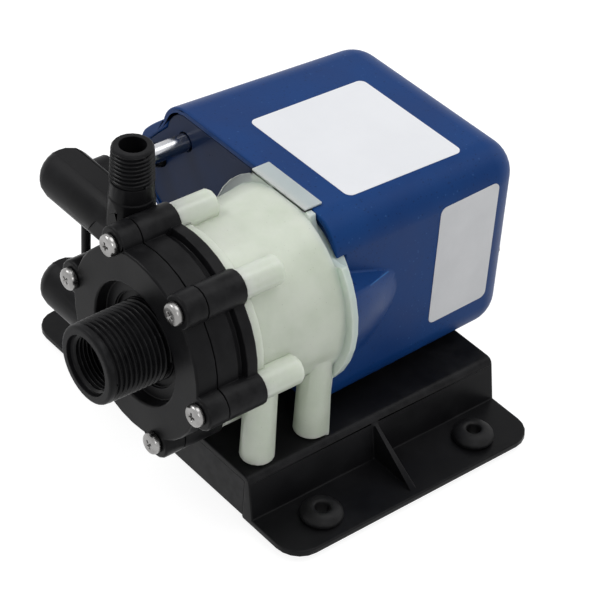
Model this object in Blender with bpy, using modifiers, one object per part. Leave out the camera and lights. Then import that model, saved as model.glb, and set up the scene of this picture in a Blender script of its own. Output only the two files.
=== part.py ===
# Small magnetic-drive submersible pump on a moulded base.
#
# A potted, liquid-cooled motor sits in a blue cup-shaped housing. A translucent bracket carries
# the black pump head in front of it and stands on the base with four legs. The motor's shaft
# turns a cup of magnets, and through a sealed casing these turn the impeller.
#
# Metres, +Z up, the inlet faces -Y. The origin is on the floor, in the middle of the pump's
# footprint. Head and motor pieces share one frame on the pump's axis: its origin is in the
# housing's mouth plane, its Z points forward out of the inlet, and its Y points up.

import math

import bmesh
import bpy
from mathutils import Matrix, Vector

mm = 0.001
gap = 0.3 * mm                      # left between pieces that touch
fine = 36                           # sides of a large round piece
middling = 20
coarse = 12
boss_sides = 16

# Base and grommets
grommet_lip = 2.0 * mm              # what lifts the base off the floor
grommet_radius = 7.2 * mm
grommet_height = 5.4 * mm           # dome above the flange
grommet_hole = 2.4 * mm
grommet_neck = 4.7 * mm
hole_side_room = 5.3 * mm           # grommet to the channel's foot
hole_edge_room = 3.3 * mm           # grommet to the flange's edge
hole_end_room = 12.3 * mm           # grommet to the base's front and rear edges
hole_spacing_y = 65.0 * mm
base_height = 18.0 * mm
base_wall = 2.5 * mm
base_edge = 2.4 * mm                # rounding along the channel's top
channel_width = 97.0 * mm
channel_draft = 1.0 * mm            # each side, top to flange
flange_thick = 2.5 * mm
flange_corner = 9.0 * mm
gusset_thick = 2.0 * mm
gusset_margin = 2.5 * mm            # from its foot to the flange's edge
front_panel_inset = 0.7 * mm
base_set_back = 38.0 * mm           # from the base's front edge to the housing's mouth
axis_x = 16.3 * mm                  # the pump's axis, to the base's middle
axis_height = 43.5 * mm             # the pump's axis, above the base

# Magnetic drive: spindle, impeller magnet, casing, drive magnet and bell, from the inside out
spindle_radius = 2.5 * mm
bushing_wall = 1.9 * mm
running_gap = 0.3 * mm
washer_thick = 0.9 * mm
stem_wall = 3.8 * mm
capsule_clearance = 0.8 * mm        # impeller's magnet to the casing
casing_radius = 17.5 * mm
casing_wall = 1.5 * mm
casing_flange_thick = 3.0 * mm
casing_back = 6.5 * mm              # closed end, ahead of the mouth plane
socket_depth = 4.2 * mm             # spindle's rear socket
drive_clearance = 1.1 * mm          # casing to the drive magnet
drive_magnet_wall = 3.3 * mm
hub_wall = 1.5 * mm
hub_plate = 2.2 * mm
hub_length = 31.0 * mm
hub_boss_radius = 7.0 * mm
hub_boss_length = 3.2 * mm
set_screw_radius = 0.9 * mm
bell_clearance = 2.8 * mm           # hub to the bell
bell_wall = 3.0 * mm
inner_magnet_length = 23.0 * mm

# Bracket
mount_flange_lip = 5.0 * mm         # outside the bell's front
mount_flange_front = 2.8 * mm       # ahead of the mouth plane
mount_flange_back = 3.7 * mm        # behind the mouth plane
bell_reach = 37.6 * mm              # mouth plane to the bell's front face
bell_flare = 2.9 * mm               # front to flange
collar_lip = 2.0 * mm
collar_depth = 3.2 * mm
collar_step = 1.5 * mm              # the collar's bore is smaller than the bell's
bracket_back_wall = 3.0 * mm
relief_radius = 13.0 * mm           # scallop between the flange's two tabs
relief_angle = 54.0
relief_bite = 6.0 * mm
leg_radius = 5.7 * mm
leg_draft = 0.5 * mm
leg_offset = 24.6 * mm
leg_front = 29.0 * mm               # legs' centres, ahead of the mouth plane
leg_rear = 7.2 * mm
leg_top = 37.0 * mm                 # above the base
bracket_boss_radius = 5.0 * mm
bracket_boss_length = 15.5 * mm

# Pump head
bolt_lip = 3.5 * mm                 # screw circle, outside the bell's front
bolt_count = 6
bolt_angle = 111.5
boss_radius = 5.8 * mm
head_step = 1.0 * mm                # head's wall, inside the screw circle
band_lip = 1.4 * mm
band_width = 4.6 * mm
groove_depth = 2.6 * mm
groove_width = 1.6 * mm
volute_depth = 14.4 * mm
cover_depth = 7.4 * mm
inlet_reach = 15.5 * mm             # tip, ahead of the cover's face
inlet_radius = 13.1 * mm            # at the tip
inlet_root_radius = 13.6 * mm
inlet_bore = 9.2 * mm
inlet_chamfer = 0.8 * mm
recess_width = 6.9 * mm             # round the inlet tube
recess_depth = 5.0 * mm
screw_radius = 1.9 * mm
screw_head_radius = 3.7 * mm
screw_head_height = 2.4 * mm
screw_grip = 10.0 * mm              # in the bracket's bosses
screw_tip_room = 1.0 * mm
base_screw_grip = 9.0 * mm

outlet_offset = 22.8 * mm           # outlet's axis, left of the pump's axis
outlet_height = 56.8 * mm           # tip, above the pump's axis
outlet_radius = 6.6 * mm            # at the tip
outlet_thread_radius = 7.15 * mm
outlet_thread_length = 17.6 * mm
outlet_foot_radius = 7.5 * mm
outlet_bore = 4.3 * mm
impeller_radius = 18.8 * mm
impeller_shroud = 1.6 * mm
impeller_nose = 2.4 * mm
vane_count = 6
vane_thick = 1.5 * mm
vane_height = 6.0 * mm
scroll_clearance = 1.8 * mm
scroll_growth = 6.6 * mm
head_floor = 3.6 * mm               # back wall of the volute's chamber
eye_clearance = 3.2 * mm            # impeller's magnet to the volute's eye
casing_seat_margin = 4.8 * mm       # casing's flange, inside the head's wall
seal_wire = 1.2 * mm
seal_margin = 4.2 * mm              # seal's groove, inside the casing's flange
spider_wall = 1.8 * mm
spider_depth = 5.0 * mm
spindle_seat = 3.4 * mm
spider_web = 1.6 * mm

arm_radius = 9.2 * mm
arm_offset = 21.8 * mm              # above and below the pump's axis
arm_overhang = 17.5 * mm            # domed tip, past the cooling tube's centre
arm_setback = 8.7 * mm              # arm's centre line, behind the volute's front
arm_flat = 7.2 * mm                 # flat pad's height above the arm's centre line
arm_flat_back = 3.0 * mm            # pad's edge, ahead of the arm's centre line
arm_bore = 3.2 * mm
arm_bore_start = 12.0 * mm          # left of the pump's axis
socket_radius = 5.9 * mm
socket_length = 14.0 * mm

# Cooling tube
tube_radius = 3.175 * mm
tube_wall = 0.5 * mm
tube_inset = 6.0 * mm               # centre, inside the housing's left side
tube_drop = 2.0 * mm                # below each arm's centre line
tube_lean = 0.05                    # towards the motor, behind the potting
tube_straight = 8.0 * mm
bend_clearance = 2.0 * mm           # bend's start, behind the laminations
tube_seal_wire = 1.1 * mm
tube_seal_room = 2.6 * mm

# Motor
shaft_radius = 3.0 * mm
shaft_clearance = 0.05 * mm
shaft_tail = 3.0 * mm
rotor_radius = 13.0 * mm
air_gap = 0.5 * mm
stack_front = 18.0 * mm             # laminations, behind the mouth plane
stack_length = 24.0 * mm
core_web = 7.3 * mm                 # between the rotor's bore and the coil's window
core_right_web = 5.0 * mm
window_width = 13.5 * mm
coil_leg = 12.0 * mm                # the leg that the coil is wound on
core_yoke = 8.5 * mm                # above and below the window
coil_tube_clearance = 0.625 * mm
coil_thick = 5.2 * mm
coil_corner = 3.0 * mm
bobbin_wall = 1.0 * mm
bobbin_end = 1.4 * mm
bobbin_lip = 0.4 * mm               # coil's face, outside the bobbin's ends
end_ring_thick = 3.0 * mm
end_ring_step = 1.0 * mm
end_ring_bore = 3.2 * mm            # outside the rotor's bore
end_ring_clearance = 2.9 * mm
shading_slot = 1.2 * mm
shading_gap_left = 9.4 * mm
shading_gap_right = 7.0 * mm
shading_height = 12.6 * mm
shading_overhang = 1.2 * mm
bridge_width = 15.0 * mm
bridge_thick = 3.0 * mm
bridge_foot = 3.8 * mm
bridge_screw_web = 5.5 * mm         # rotor's bore to the stator's screws
bearing_radius = 6.5 * mm
bearing_length = 6.0 * mm
bearing_wall = 2.2 * mm
bearing_floor = 2.0 * mm
shaft_window = 1.2 * mm             # round the shaft, through each bridge
stator_screw_radius = 1.8 * mm
stator_screw_head = 3.2 * mm
stator_screw_head_height = 2.2 * mm
stator_screw_short = 0.4 * mm
protector_thick = 4.2 * mm
protector_height = 14.0 * mm

# Motor housing, sized round the motor
body_wall = 2.5 * mm
body_draft = 2.4 * mm               # each side, mouth to back
body_round = 11.0 * mm
core_clearance = 2.4 * mm           # over the laminations
side_clearance = 1.3 * mm           # right of the laminations
coil_clearance = 3.6 * mm           # left of the coil, for the tube's bend
back_clearance = 6.125 * mm         # behind the tube's bend
lobe_overhang = 9.7 * mm            # shoulder's edge, left of the lead's centre
lobe_crest = 4.3 * mm               # its widest level, above the lead's centre
lobe_height = 33.0 * mm
lobe_length = 42.0 * mm
lobe_root = 12.0 * mm               # in the housing's side
lobe_round = 6.0 * mm
blister_length = 29.0 * mm
blister_taper = 11.7 * mm
potting_recess = 1.2 * mm
potting_depth = 7.3 * mm
potting_hole = 23.0 * mm

# Power lead
lead_radius = 1.7 * mm
lead_offset = 8.0 * mm              # left of the housing's side
lead_height = 6.5 * mm              # above the pump's axis
relief_wall = 2.2 * mm
relief_tip_wall = 0.7 * mm
relief_collar = 2.4 * mm
relief_length = 9.0 * mm
relief_root = 3.0 * mm              # in the potting
coil_turn_radius = 19.0 * mm        # middle of the coil's turns
coil_columns = 3
coil_rows = 4
coil_x = -25.0 * mm
coil_room = 11.0 * mm               # between the housing's back and the coil
coil_edge = 1.0 * mm
tie_width = 6.0 * mm
tie_thick = 0.8 * mm
connector_width = 7.6 * mm
connector_length = 20.0 * mm
connector_height = 6.8 * mm
connector_tail = 22.0 * mm          # from beside the coil's middle to the connector
connector_pin = 2.2 * mm
connector_pin_depth = 6.0 * mm

# Sizes and places that follow
hole_spacing_x = channel_width + 2 * (channel_draft + hole_side_room + grommet_radius)
flange_reach = hole_side_room + 2 * grommet_radius + hole_edge_room
base_length = hole_spacing_y + 2 * (grommet_radius + hole_end_room)
base_bottom = grommet_lip
base_top = base_bottom + base_height
axis_z = base_top + axis_height
bushing_radius = spindle_radius + bushing_wall
stem_radius = bushing_radius + stem_wall
capsule_radius = casing_radius - casing_wall - capsule_clearance
magnet_inner = casing_radius + drive_clearance
magnet_outer = magnet_inner + drive_magnet_wall
hub_outer = magnet_outer + gap + hub_wall
bell_bore = hub_outer + bell_clearance
bell_radius = bell_bore + bell_wall
collar_radius = bell_radius + collar_lip
collar_bore = bell_bore - collar_step
mount_flange_radius = bell_radius + mount_flange_lip
bolt_radius = bell_radius + bolt_lip
head_radius = bolt_radius - head_step
band_radius = head_radius + band_lip
casing_flange_radius = head_radius - casing_seat_margin
seal_radius = casing_flange_radius - seal_margin
recess_radius = inlet_root_radius + recess_width
scroll_start = impeller_radius + scroll_clearance
stack_back = stack_front + stack_length
window_right = rotor_radius + air_gap + core_web
window_left = window_right + window_width
core_left = window_left + coil_leg
core_right = rotor_radius + air_gap + core_right_web
window_half_height = arm_offset - tube_drop - tube_radius - coil_tube_clearance
core_half_height = window_half_height + core_yoke
bridge_screw_offset = rotor_radius + air_gap + bridge_screw_web
bridge_half_height = bridge_screw_offset + bridge_foot
bridge_stand = end_ring_thick + end_ring_clearance
shaft_back = stack_back + gap + bridge_stand + bearing_length + bearing_floor + shaft_tail
tube_depth = stack_back + bend_clearance
coil_left = core_left + gap + bobbin_wall + coil_thick
body_left = axis_x - coil_left - coil_clearance - body_draft - body_wall
body_right = axis_x + core_right + side_clearance + body_draft + body_wall
body_top = axis_z + core_half_height + core_clearance + body_draft + body_wall
body_length = tube_depth + arm_offset + tube_radius + back_clearance + body_wall
tube_x = axis_x - body_left - tube_inset
arm_reach = tube_x + arm_overhang
volute_back = bell_reach + gap
volute_front = volute_back + volute_depth
cover_back = volute_front + gap
cover_front = cover_back + cover_depth
inlet_tip = cover_front + inlet_reach
mouth_y = (inlet_tip - body_length) / 2
base_y = mouth_y - base_set_back + base_length / 2
floor_front = volute_back + head_floor
arm_z = volute_front - arm_setback
coil_outer = coil_turn_radius + coil_columns * lead_radius
coil_lift = tie_thick + 2 * gap

parts = None


def start():
    for item in list(bpy.data.objects):
        bpy.data.objects.remove(item, do_unlink=True)
    collection = bpy.data.collections.new("submersible_pump")
    bpy.context.scene.collection.children.link(collection)
    return collection


def material(name, colour, roughness, metallic=0.0, alpha=1.0):
    surface = bpy.data.materials.get(name) or bpy.data.materials.new(name)
    surface.use_nodes = True
    shader = surface.node_tree.nodes["Principled BSDF"]
    shader.inputs["Base Color"].default_value = (*colour, 1.0)
    shader.inputs["Roughness"].default_value = roughness
    shader.inputs["Metallic"].default_value = metallic
    shader.inputs["Alpha"].default_value = alpha
    surface.diffuse_color = (*colour, alpha)
    return surface


def wrap(name, mesh):
    item = bpy.data.objects.new(name, mesh)
    parts.objects.link(item)
    return item


def from_bmesh(name, bm):
    mesh = bpy.data.meshes.new(name)
    bm.to_mesh(mesh)
    bm.free()
    return wrap(name, mesh)


def settle(item):
    """Replace an object's modifiers, or its curve, by the mesh that they make."""
    bpy.context.view_layer.update()
    graph = bpy.context.evaluated_depsgraph_get()
    mesh = bpy.data.meshes.new_from_object(item.evaluated_get(graph))
    bm = bmesh.new()
    bm.from_mesh(mesh)
    bmesh.ops.remove_doubles(bm, verts=bm.verts, dist=0.001 * mm)
    bmesh.ops.dissolve_degenerate(bm, edges=bm.edges, dist=0.0005 * mm)
    bmesh.ops.recalc_face_normals(bm, faces=bm.faces)
    bm.to_mesh(mesh)
    bm.free()
    settled = wrap(item.name + "_settled", mesh)
    settled.matrix_world = item.matrix_world.copy()
    name = item.name
    bpy.data.objects.remove(item, do_unlink=True)
    settled.name = name
    return settled


def combine(target, tool, operation):
    change = target.modifiers.new(operation.lower(), "BOOLEAN")
    change.operation = operation
    change.solver = "EXACT"
    change.object = tool
    target = settle(target)
    bpy.data.objects.remove(tool, do_unlink=True)
    return target


def cut(target, *tools):
    for tool in tools:
        target = combine(target, tool, "DIFFERENCE")
    return target


def join(target, *others):
    for other in others:
        target = combine(target, other, "UNION")
    return target


def drum(name, radius, low, high, x=0.0, y=0.0, top_radius=None, segments=middling, turn=None):
    """A cylinder or cone along Z from low to high, or along the axis that turn gives."""
    bm = bmesh.new()
    bmesh.ops.create_cone(
        bm, cap_ends=True, segments=segments, radius1=radius,
        radius2=radius if top_radius is None else top_radius, depth=high - low)
    bmesh.ops.translate(bm, verts=bm.verts, vec=(0, 0, (low + high) / 2))
    if turn is not None:
        bmesh.ops.rotate(bm, verts=bm.verts, matrix=turn)
    bmesh.ops.translate(bm, verts=bm.verts, vec=(x, y, 0))
    return from_bmesh(name, bm)


def bar(name, low, high):
    """A box between two corners."""
    bm = bmesh.new()
    bmesh.ops.create_cube(bm, size=1.0)
    size = Vector(high) - Vector(low)
    bmesh.ops.scale(bm, verts=bm.verts, vec=size)
    bmesh.ops.translate(bm, verts=bm.verts, vec=Vector(low) + size / 2)
    return from_bmesh(name, bm)


def turned(name, profile, segments=fine):
    """Turn a closed loop of (radius, height) points about Z."""
    mesh = bpy.data.meshes.new(name)
    points = [(radius, 0.0, height) for radius, height in profile]
    edges = []
    for i, (radius, _) in enumerate(profile):
        following = (i + 1) % len(profile)
        if radius > 0 or profile[following][0] > 0:
            edges.append((i, following))
    mesh.from_pydata(points, edges, [])
    item = wrap(name, mesh)
    spin = item.modifiers.new("turn", "SCREW")
    spin.axis = "Z"
    spin.angle = 2 * math.pi
    spin.steps = segments
    spin.render_steps = segments
    spin.use_merge_vertices = True
    spin.merge_threshold = 0.001 * mm
    return settle(item)


def slab(name, outline, low, high):
    """A flat outline in the XY plane, extruded from low to high."""
    shape = bpy.data.curves.new(name, "CURVE")
    shape.dimensions = "2D"
    shape.fill_mode = "BOTH"
    shape.extrude = (high - low) / 2
    spline = shape.splines.new("POLY")
    spline.points.add(len(outline) - 1)
    for point, (x, y) in zip(spline.points, outline):
        point.co = (x, y, 0.0, 1.0)
    spline.use_cyclic_u = True
    item = settle(wrap(name, shape))
    item.data.transform(Matrix.Translation((0, 0, (low + high) / 2)))
    bm = bmesh.new()
    bm.from_mesh(item.data)
    bmesh.ops.dissolve_limit(bm, angle_limit=math.radians(0.2), verts=bm.verts, edges=bm.edges)
    bm.to_mesh(item.data)
    bm.free()
    return item


def tube(name, points, radius, sides=2, capped=True):
    """A round tube along points, in world coordinates."""
    shape = bpy.data.curves.new(name, "CURVE")
    shape.dimensions = "3D"
    shape.bevel_depth = radius
    shape.bevel_resolution = sides
    shape.use_fill_caps = capped
    spline = shape.splines.new("POLY")
    spline.points.add(len(points) - 1)
    for point, place in zip(spline.points, points):
        point.co = (*place, 1.0)
    return wrap(name, shape)


def arc(cx, cy, radius, start_angle, end_angle, steps):
    """Points on a circle, angles in degrees."""
    points = []
    for i in range(steps + 1):
        angle = math.radians(start_angle + (end_angle - start_angle) * i / steps)
        points.append((cx + radius * math.cos(angle), cy + radius * math.sin(angle)))
    return points


def rounded_rectangle(half_x, half_y, radius, steps=5):
    outline = []
    for quarter, (sx, sy) in enumerate(((1, 1), (-1, 1), (-1, -1), (1, -1))):
        outline += arc(sx * (half_x - radius), sy * (half_y - radius), radius,
                       90 * quarter, 90 * quarter + 90, steps)
    return outline


def softened(corners, radius, steps=3):
    """A polygon's points with each corner rounded."""
    outline = []
    count = len(corners)
    for i in range(count):
        before = Vector(corners[i - 1])
        here = Vector(corners[i])
        after = Vector(corners[(i + 1) % count])
        back = min(radius, (before - here).length * 0.45, (after - here).length * 0.45)
        first = here + (before - here).normalized() * back
        last = here + (after - here).normalized() * back
        for k in range(steps + 1):
            t = k / steps
            outline.append(tuple((1 - t) ** 2 * first + 2 * t * (1 - t) * here + t ** 2 * last))
    return outline


def round_edges(item, width, segments, choose):
    """Bevel the edges for which choose(start, end) is true."""
    bm = bmesh.new()
    bm.from_mesh(item.data)
    edges = [edge for edge in bm.edges if choose(edge.verts[0].co, edge.verts[1].co)]
    bmesh.ops.bevel(bm, geom=edges, offset=width, segments=segments, profile=0.5,
                    affect="EDGES", clamp_overlap=True)
    bm.to_mesh(item.data)
    bm.free()
    return item


def hull(name, points):
    """The convex solid round a few points."""
    bm = bmesh.new()
    for point in points:
        bm.verts.new(point)
    bmesh.ops.convex_hull(bm, input=bm.verts)
    bmesh.ops.recalc_face_normals(bm, faces=bm.faces)
    return from_bmesh(name, bm)


def finish(item, surface, smooth_angle=32.0):
    item.data.materials.clear()
    item.data.materials.append(surface)
    item.data.shade_smooth()
    item.data.set_sharp_from_angle(angle=math.radians(smooth_angle))
    return item


def on_axis(item, x=0.0, y=0.0):
    """Move a piece built in the pump's own frame to its place, x and y off the pump's axis."""
    item.location = (axis_x + x, mouth_y, axis_z + y)
    item.rotation_euler = (math.pi / 2, 0, 0)
    return item


def bolt_points(radius=None):
    points = []
    for k in range(bolt_count):
        angle = math.radians(bolt_angle + 360.0 * k / bolt_count)
        points.append(((radius or bolt_radius) * math.cos(angle),
                       (radius or bolt_radius) * math.sin(angle)))
    return points


along_x = Matrix.Rotation(math.pi / 2, 3, "Y")
along_y = Matrix.Rotation(-math.pi / 2, 3, "X")

black = material("black_moulded", (0.020, 0.020, 0.022), 0.42)
rubber = material("black_rubber", (0.018, 0.018, 0.019), 0.75)
blue = material("blue_housing", (0.016, 0.085, 0.26), 0.35)
potting_blue = material("blue_potting", (0.008, 0.030, 0.11), 0.12)
natural = material("natural_polymer", (0.66, 0.71, 0.60), 0.38)
stainless = material("stainless", (0.72, 0.72, 0.72), 0.22, 1.0)
steel = material("lamination_steel", (0.30, 0.30, 0.32), 0.45, 1.0)
copper = material("enamelled_copper", (0.55, 0.22, 0.08), 0.35, 1.0)
bronze = material("bearing_bronze", (0.50, 0.33, 0.14), 0.40, 1.0)
zinc = material("zinc_casting", (0.45, 0.46, 0.48), 0.45, 1.0)
ferrite = material("ferrite", (0.055, 0.055, 0.060), 0.60)
ceramic = material("white_ceramic", (0.80, 0.79, 0.76), 0.25)
nylon = material("bobbin_nylon", (0.70, 0.68, 0.60), 0.50)


def leg_places():
    """Leg centres in world X and Y."""
    return [(axis_x + side * leg_offset, mouth_y - ahead)
            for side in (-1, 1) for ahead in (leg_front, leg_rear)]


def grommet_places():
    return {
        "front_left": (-hole_spacing_x / 2, base_y - hole_spacing_y / 2),
        "front_right": (hole_spacing_x / 2, base_y - hole_spacing_y / 2),
        "rear_left": (-hole_spacing_x / 2, base_y + hole_spacing_y / 2),
        "rear_right": (hole_spacing_x / 2, base_y + hole_spacing_y / 2)}


def make_base():
    half_top = channel_width / 2
    half_foot = half_top + channel_draft
    half_all = half_foot + flange_reach
    half_length = base_length / 2
    flange_top = base_bottom + flange_thick
    base = slab("base_plate", rounded_rectangle(half_all, half_length, flange_corner),
                base_bottom, flange_top)
    low = base_bottom + flange_thick / 2
    profile = [(-half_foot, low), (half_foot, low), (half_top, base_top), (-half_top, base_top)]
    channel = slab("channel", profile, -half_length, half_length)
    channel.data.transform(Matrix.Rotation(math.pi / 2, 4, "X"))
    high = base_top - base_height / 4
    round_edges(channel, base_edge, 3,
                lambda a, b: a.z > high and b.z > high and abs(a.x - b.x) < mm)
    base = join(base, channel)
    foot = half_all - gusset_margin
    top = base_top - base_edge
    for side in (-1, 1):
        outline = [(side * (half_top - base_wall), flange_top - mm), (side * foot, flange_top - mm),
                   (side * foot, flange_top), (side * half_top, top),
                   (side * (half_top - base_wall), top)]
        if side < 0:
            outline.reverse()
        gusset = slab("gusset", outline, -gusset_thick / 2, gusset_thick / 2)
        gusset.data.transform(Matrix.Rotation(math.pi / 2, 4, "X"))
        base = join(base, gusset)
    inner = half_top - base_wall
    pocket = bar("pocket", (-inner, -half_length + base_wall, base_bottom - mm),
                 (inner, half_length - base_wall, base_top - base_wall))
    panel_low = base_bottom - mm
    panel_cut = bar("panel_cut", (-inner, -half_length - mm, panel_low),
                    (inner, -half_length + front_panel_inset, base_top - base_wall))
    base = cut(base, pocket, panel_cut)
    base.location.y = base_y
    base.data.transform(Matrix.Translation((0, base_y, 0)))
    base.location.y = 0
    for x, y in grommet_places().values():
        base = cut(base, drum("hole", grommet_neck + gap, 0, base_height, x, y, segments=middling))
    for x, y in leg_places():
        base = cut(base, drum("hole", screw_radius + gap, base_bottom + mm, base_top + mm,
                              x, y, segments=coarse))
    return finish(base, black)


def make_grommets():
    flange_top = base_bottom + flange_thick
    top = flange_top + grommet_height
    dome = []
    crown = grommet_hole + 0.8 * mm
    for i in range(5):
        angle = math.radians(90 - 90 * i / 4)
        dome.append((crown + (grommet_radius - crown) * math.cos(angle),
                     flange_top + gap + grommet_height * 0.25
                     + (grommet_height * 0.75 - gap) * math.sin(angle)))
    lip = grommet_radius - 0.4 * mm
    profile = [(grommet_hole, top - 0.5 * mm)] + dome + [
        (grommet_radius - 0.3 * mm, flange_top + gap), (grommet_neck, flange_top + gap),
        (grommet_neck, base_bottom - gap), (lip, base_bottom - gap), (lip, 0.5 * mm),
        (lip - 0.5 * mm, 0.0), (grommet_hole, 0.0)]
    for place, (x, y) in grommet_places().items():
        grommet = turned("grommet_" + place, profile, boss_sides)
        grommet.location = (x, y, 0)
        finish(grommet, rubber)


def make_base_screws():
    """Screws from under the base into the bracket's legs."""
    under = base_top - base_wall - gap
    head = 2.0 * mm
    tip = base_top + base_screw_grip
    profile = [(0, tip), (screw_radius * 0.7, tip - mm), (screw_radius, tip - 2 * mm),
               (screw_radius, under),
               (screw_head_radius, under), (screw_head_radius, under - head * 0.6),
               (screw_head_radius * 0.6, under - head), (0, under - head)]
    for number, (x, y) in enumerate(leg_places(), 1):
        screw = turned("base_screw_%d" % number, profile, coarse)
        screw.location = (x, y, 0)
        finish(screw, stainless)


def cup_block(name, inset, front, back_inset):
    """The housing's rounded block. Inset shrinks it for the cavity."""
    low_x = body_left + inset
    high_x = body_right - inset
    low_z = base_top + gap + inset
    high_z = body_top - inset
    back = mouth_y + body_length - back_inset
    block = bar(name, (low_x, front, low_z), (high_x, back, high_z))
    middle_x = (low_x + high_x) / 2
    share = (back - front) / body_length
    for vertex in block.data.vertices:
        if vertex.co.y > (front + back) / 2:
            vertex.co.x += body_draft * share * (1 if vertex.co.x < middle_x else -1)
            if vertex.co.z > (low_z + high_z) / 2:
                vertex.co.z -= body_draft * share
    edge_y = front + mm
    return round_edges(block, body_round - inset, 5,
                       lambda a, b: a.y > edge_y or b.y > edge_y)


def lobe_block(name, inset, front):
    """The shoulder on the housing's upper left, fading into its side. It holds the lead's outlet."""
    x, z, _ = lead_exit()
    tip = x - lobe_overhang + inset
    crest = z + lobe_crest - inset
    low = crest - lobe_height + 3 * inset
    top = body_top - 0.8 * mm - inset
    inside = body_left + lobe_root
    end = mouth_y + lobe_length - 3 * inset
    rim = [(body_left + 4.0 * mm, top), (tip + 5 * mm, crest + 5.5 * mm), (tip, crest),
           (tip, crest - lobe_height * 0.4), (body_left + inset, low)]
    far = [(body_left + 9.0 * mm, top - 4 * mm), (body_left + 4 * mm, crest),
           (body_left + 5 * mm, low + 4 * mm)]
    points = [(x, front, z) for x, z in softened(rim, lobe_round)[3:-3]]
    points += [(x, end, z) for x, z in softened(far, lobe_round)[3:-3]]
    points += [(inside, front, top), (inside, front, low), (inside, end, top - 4 * mm),
               (inside, end, low + 4 * mm)]
    return hull(name, points)


def make_housing():
    front = mouth_y
    housing = cup_block("motor_housing", 0.0, front, 0.0)
    housing = join(housing, lobe_block("lobe", 0.0, front))
    blister = drum("blister", mount_flange_radius, 0, blister_length,
                   top_radius=mount_flange_radius - blister_taper, segments=fine, turn=along_y)
    blister.data.transform(Matrix.Translation((axis_x, front, axis_z)))
    keep = bar("keep", (axis_x, front - mm, base_top + gap),
               (axis_x + 2 * mount_flange_radius, front + blister_length + mm, body_top))
    blister = combine(blister, keep, "INTERSECT")
    housing = join(housing, blister)
    cavity = join(cup_block("cavity", body_wall, front - mm, body_wall),
                  lobe_block("lobe_cavity", body_wall, front - mm))
    seat = drum("seat", mount_flange_radius + gap, -mm, mount_flange_back + gap,
                segments=fine, turn=along_y)
    seat.data.transform(Matrix.Translation((axis_x, front, axis_z)))
    housing = cut(housing, cavity, seat)
    return finish(housing, blue, 40)


def make_potting():
    front = mouth_y + potting_recess
    back = front + potting_depth
    inset = body_wall + gap
    potting = join(cup_block("potting", inset, mouth_y - mm, inset),
                   lobe_block("lobe_fill", inset, mouth_y - mm))
    layer = bar("layer", (2 * body_left, front, 0), (2 * body_right, back, 2 * body_top))
    potting = combine(potting, layer, "INTERSECT")
    seat = drum("seat", mount_flange_radius + gap, -mount_flange_back, mount_flange_back + gap,
                segments=fine, turn=along_y)
    seat.data.transform(Matrix.Translation((axis_x, mouth_y, axis_z)))
    reach = 2 * potting_depth
    hole = drum("hole", potting_hole, -mm, reach, segments=fine, turn=along_y)
    hole.data.transform(Matrix.Translation((axis_x, mouth_y, axis_z)))
    potting = cut(potting, seat, hole)
    for x, z, radius in tube_ends() + [lead_exit()]:
        hole = drum("hole", radius + gap, -mm, reach, segments=boss_sides, turn=along_y)
        hole.data.transform(Matrix.Translation((x, mouth_y, z)))
        potting = cut(potting, hole)
    return finish(potting, potting_blue, 40)


def tube_ends():
    """World X, Z and radius of the cooling tube's two runs."""
    return [(axis_x - tube_x, axis_z + side * arm_offset - tube_drop, tube_radius)
            for side in (1, -1)]


def lead_exit():
    """World X and Z of the lead's outlet, and its relief's radius."""
    return (body_left - lead_offset, axis_z + lead_height, lead_radius + relief_wall)


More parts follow.
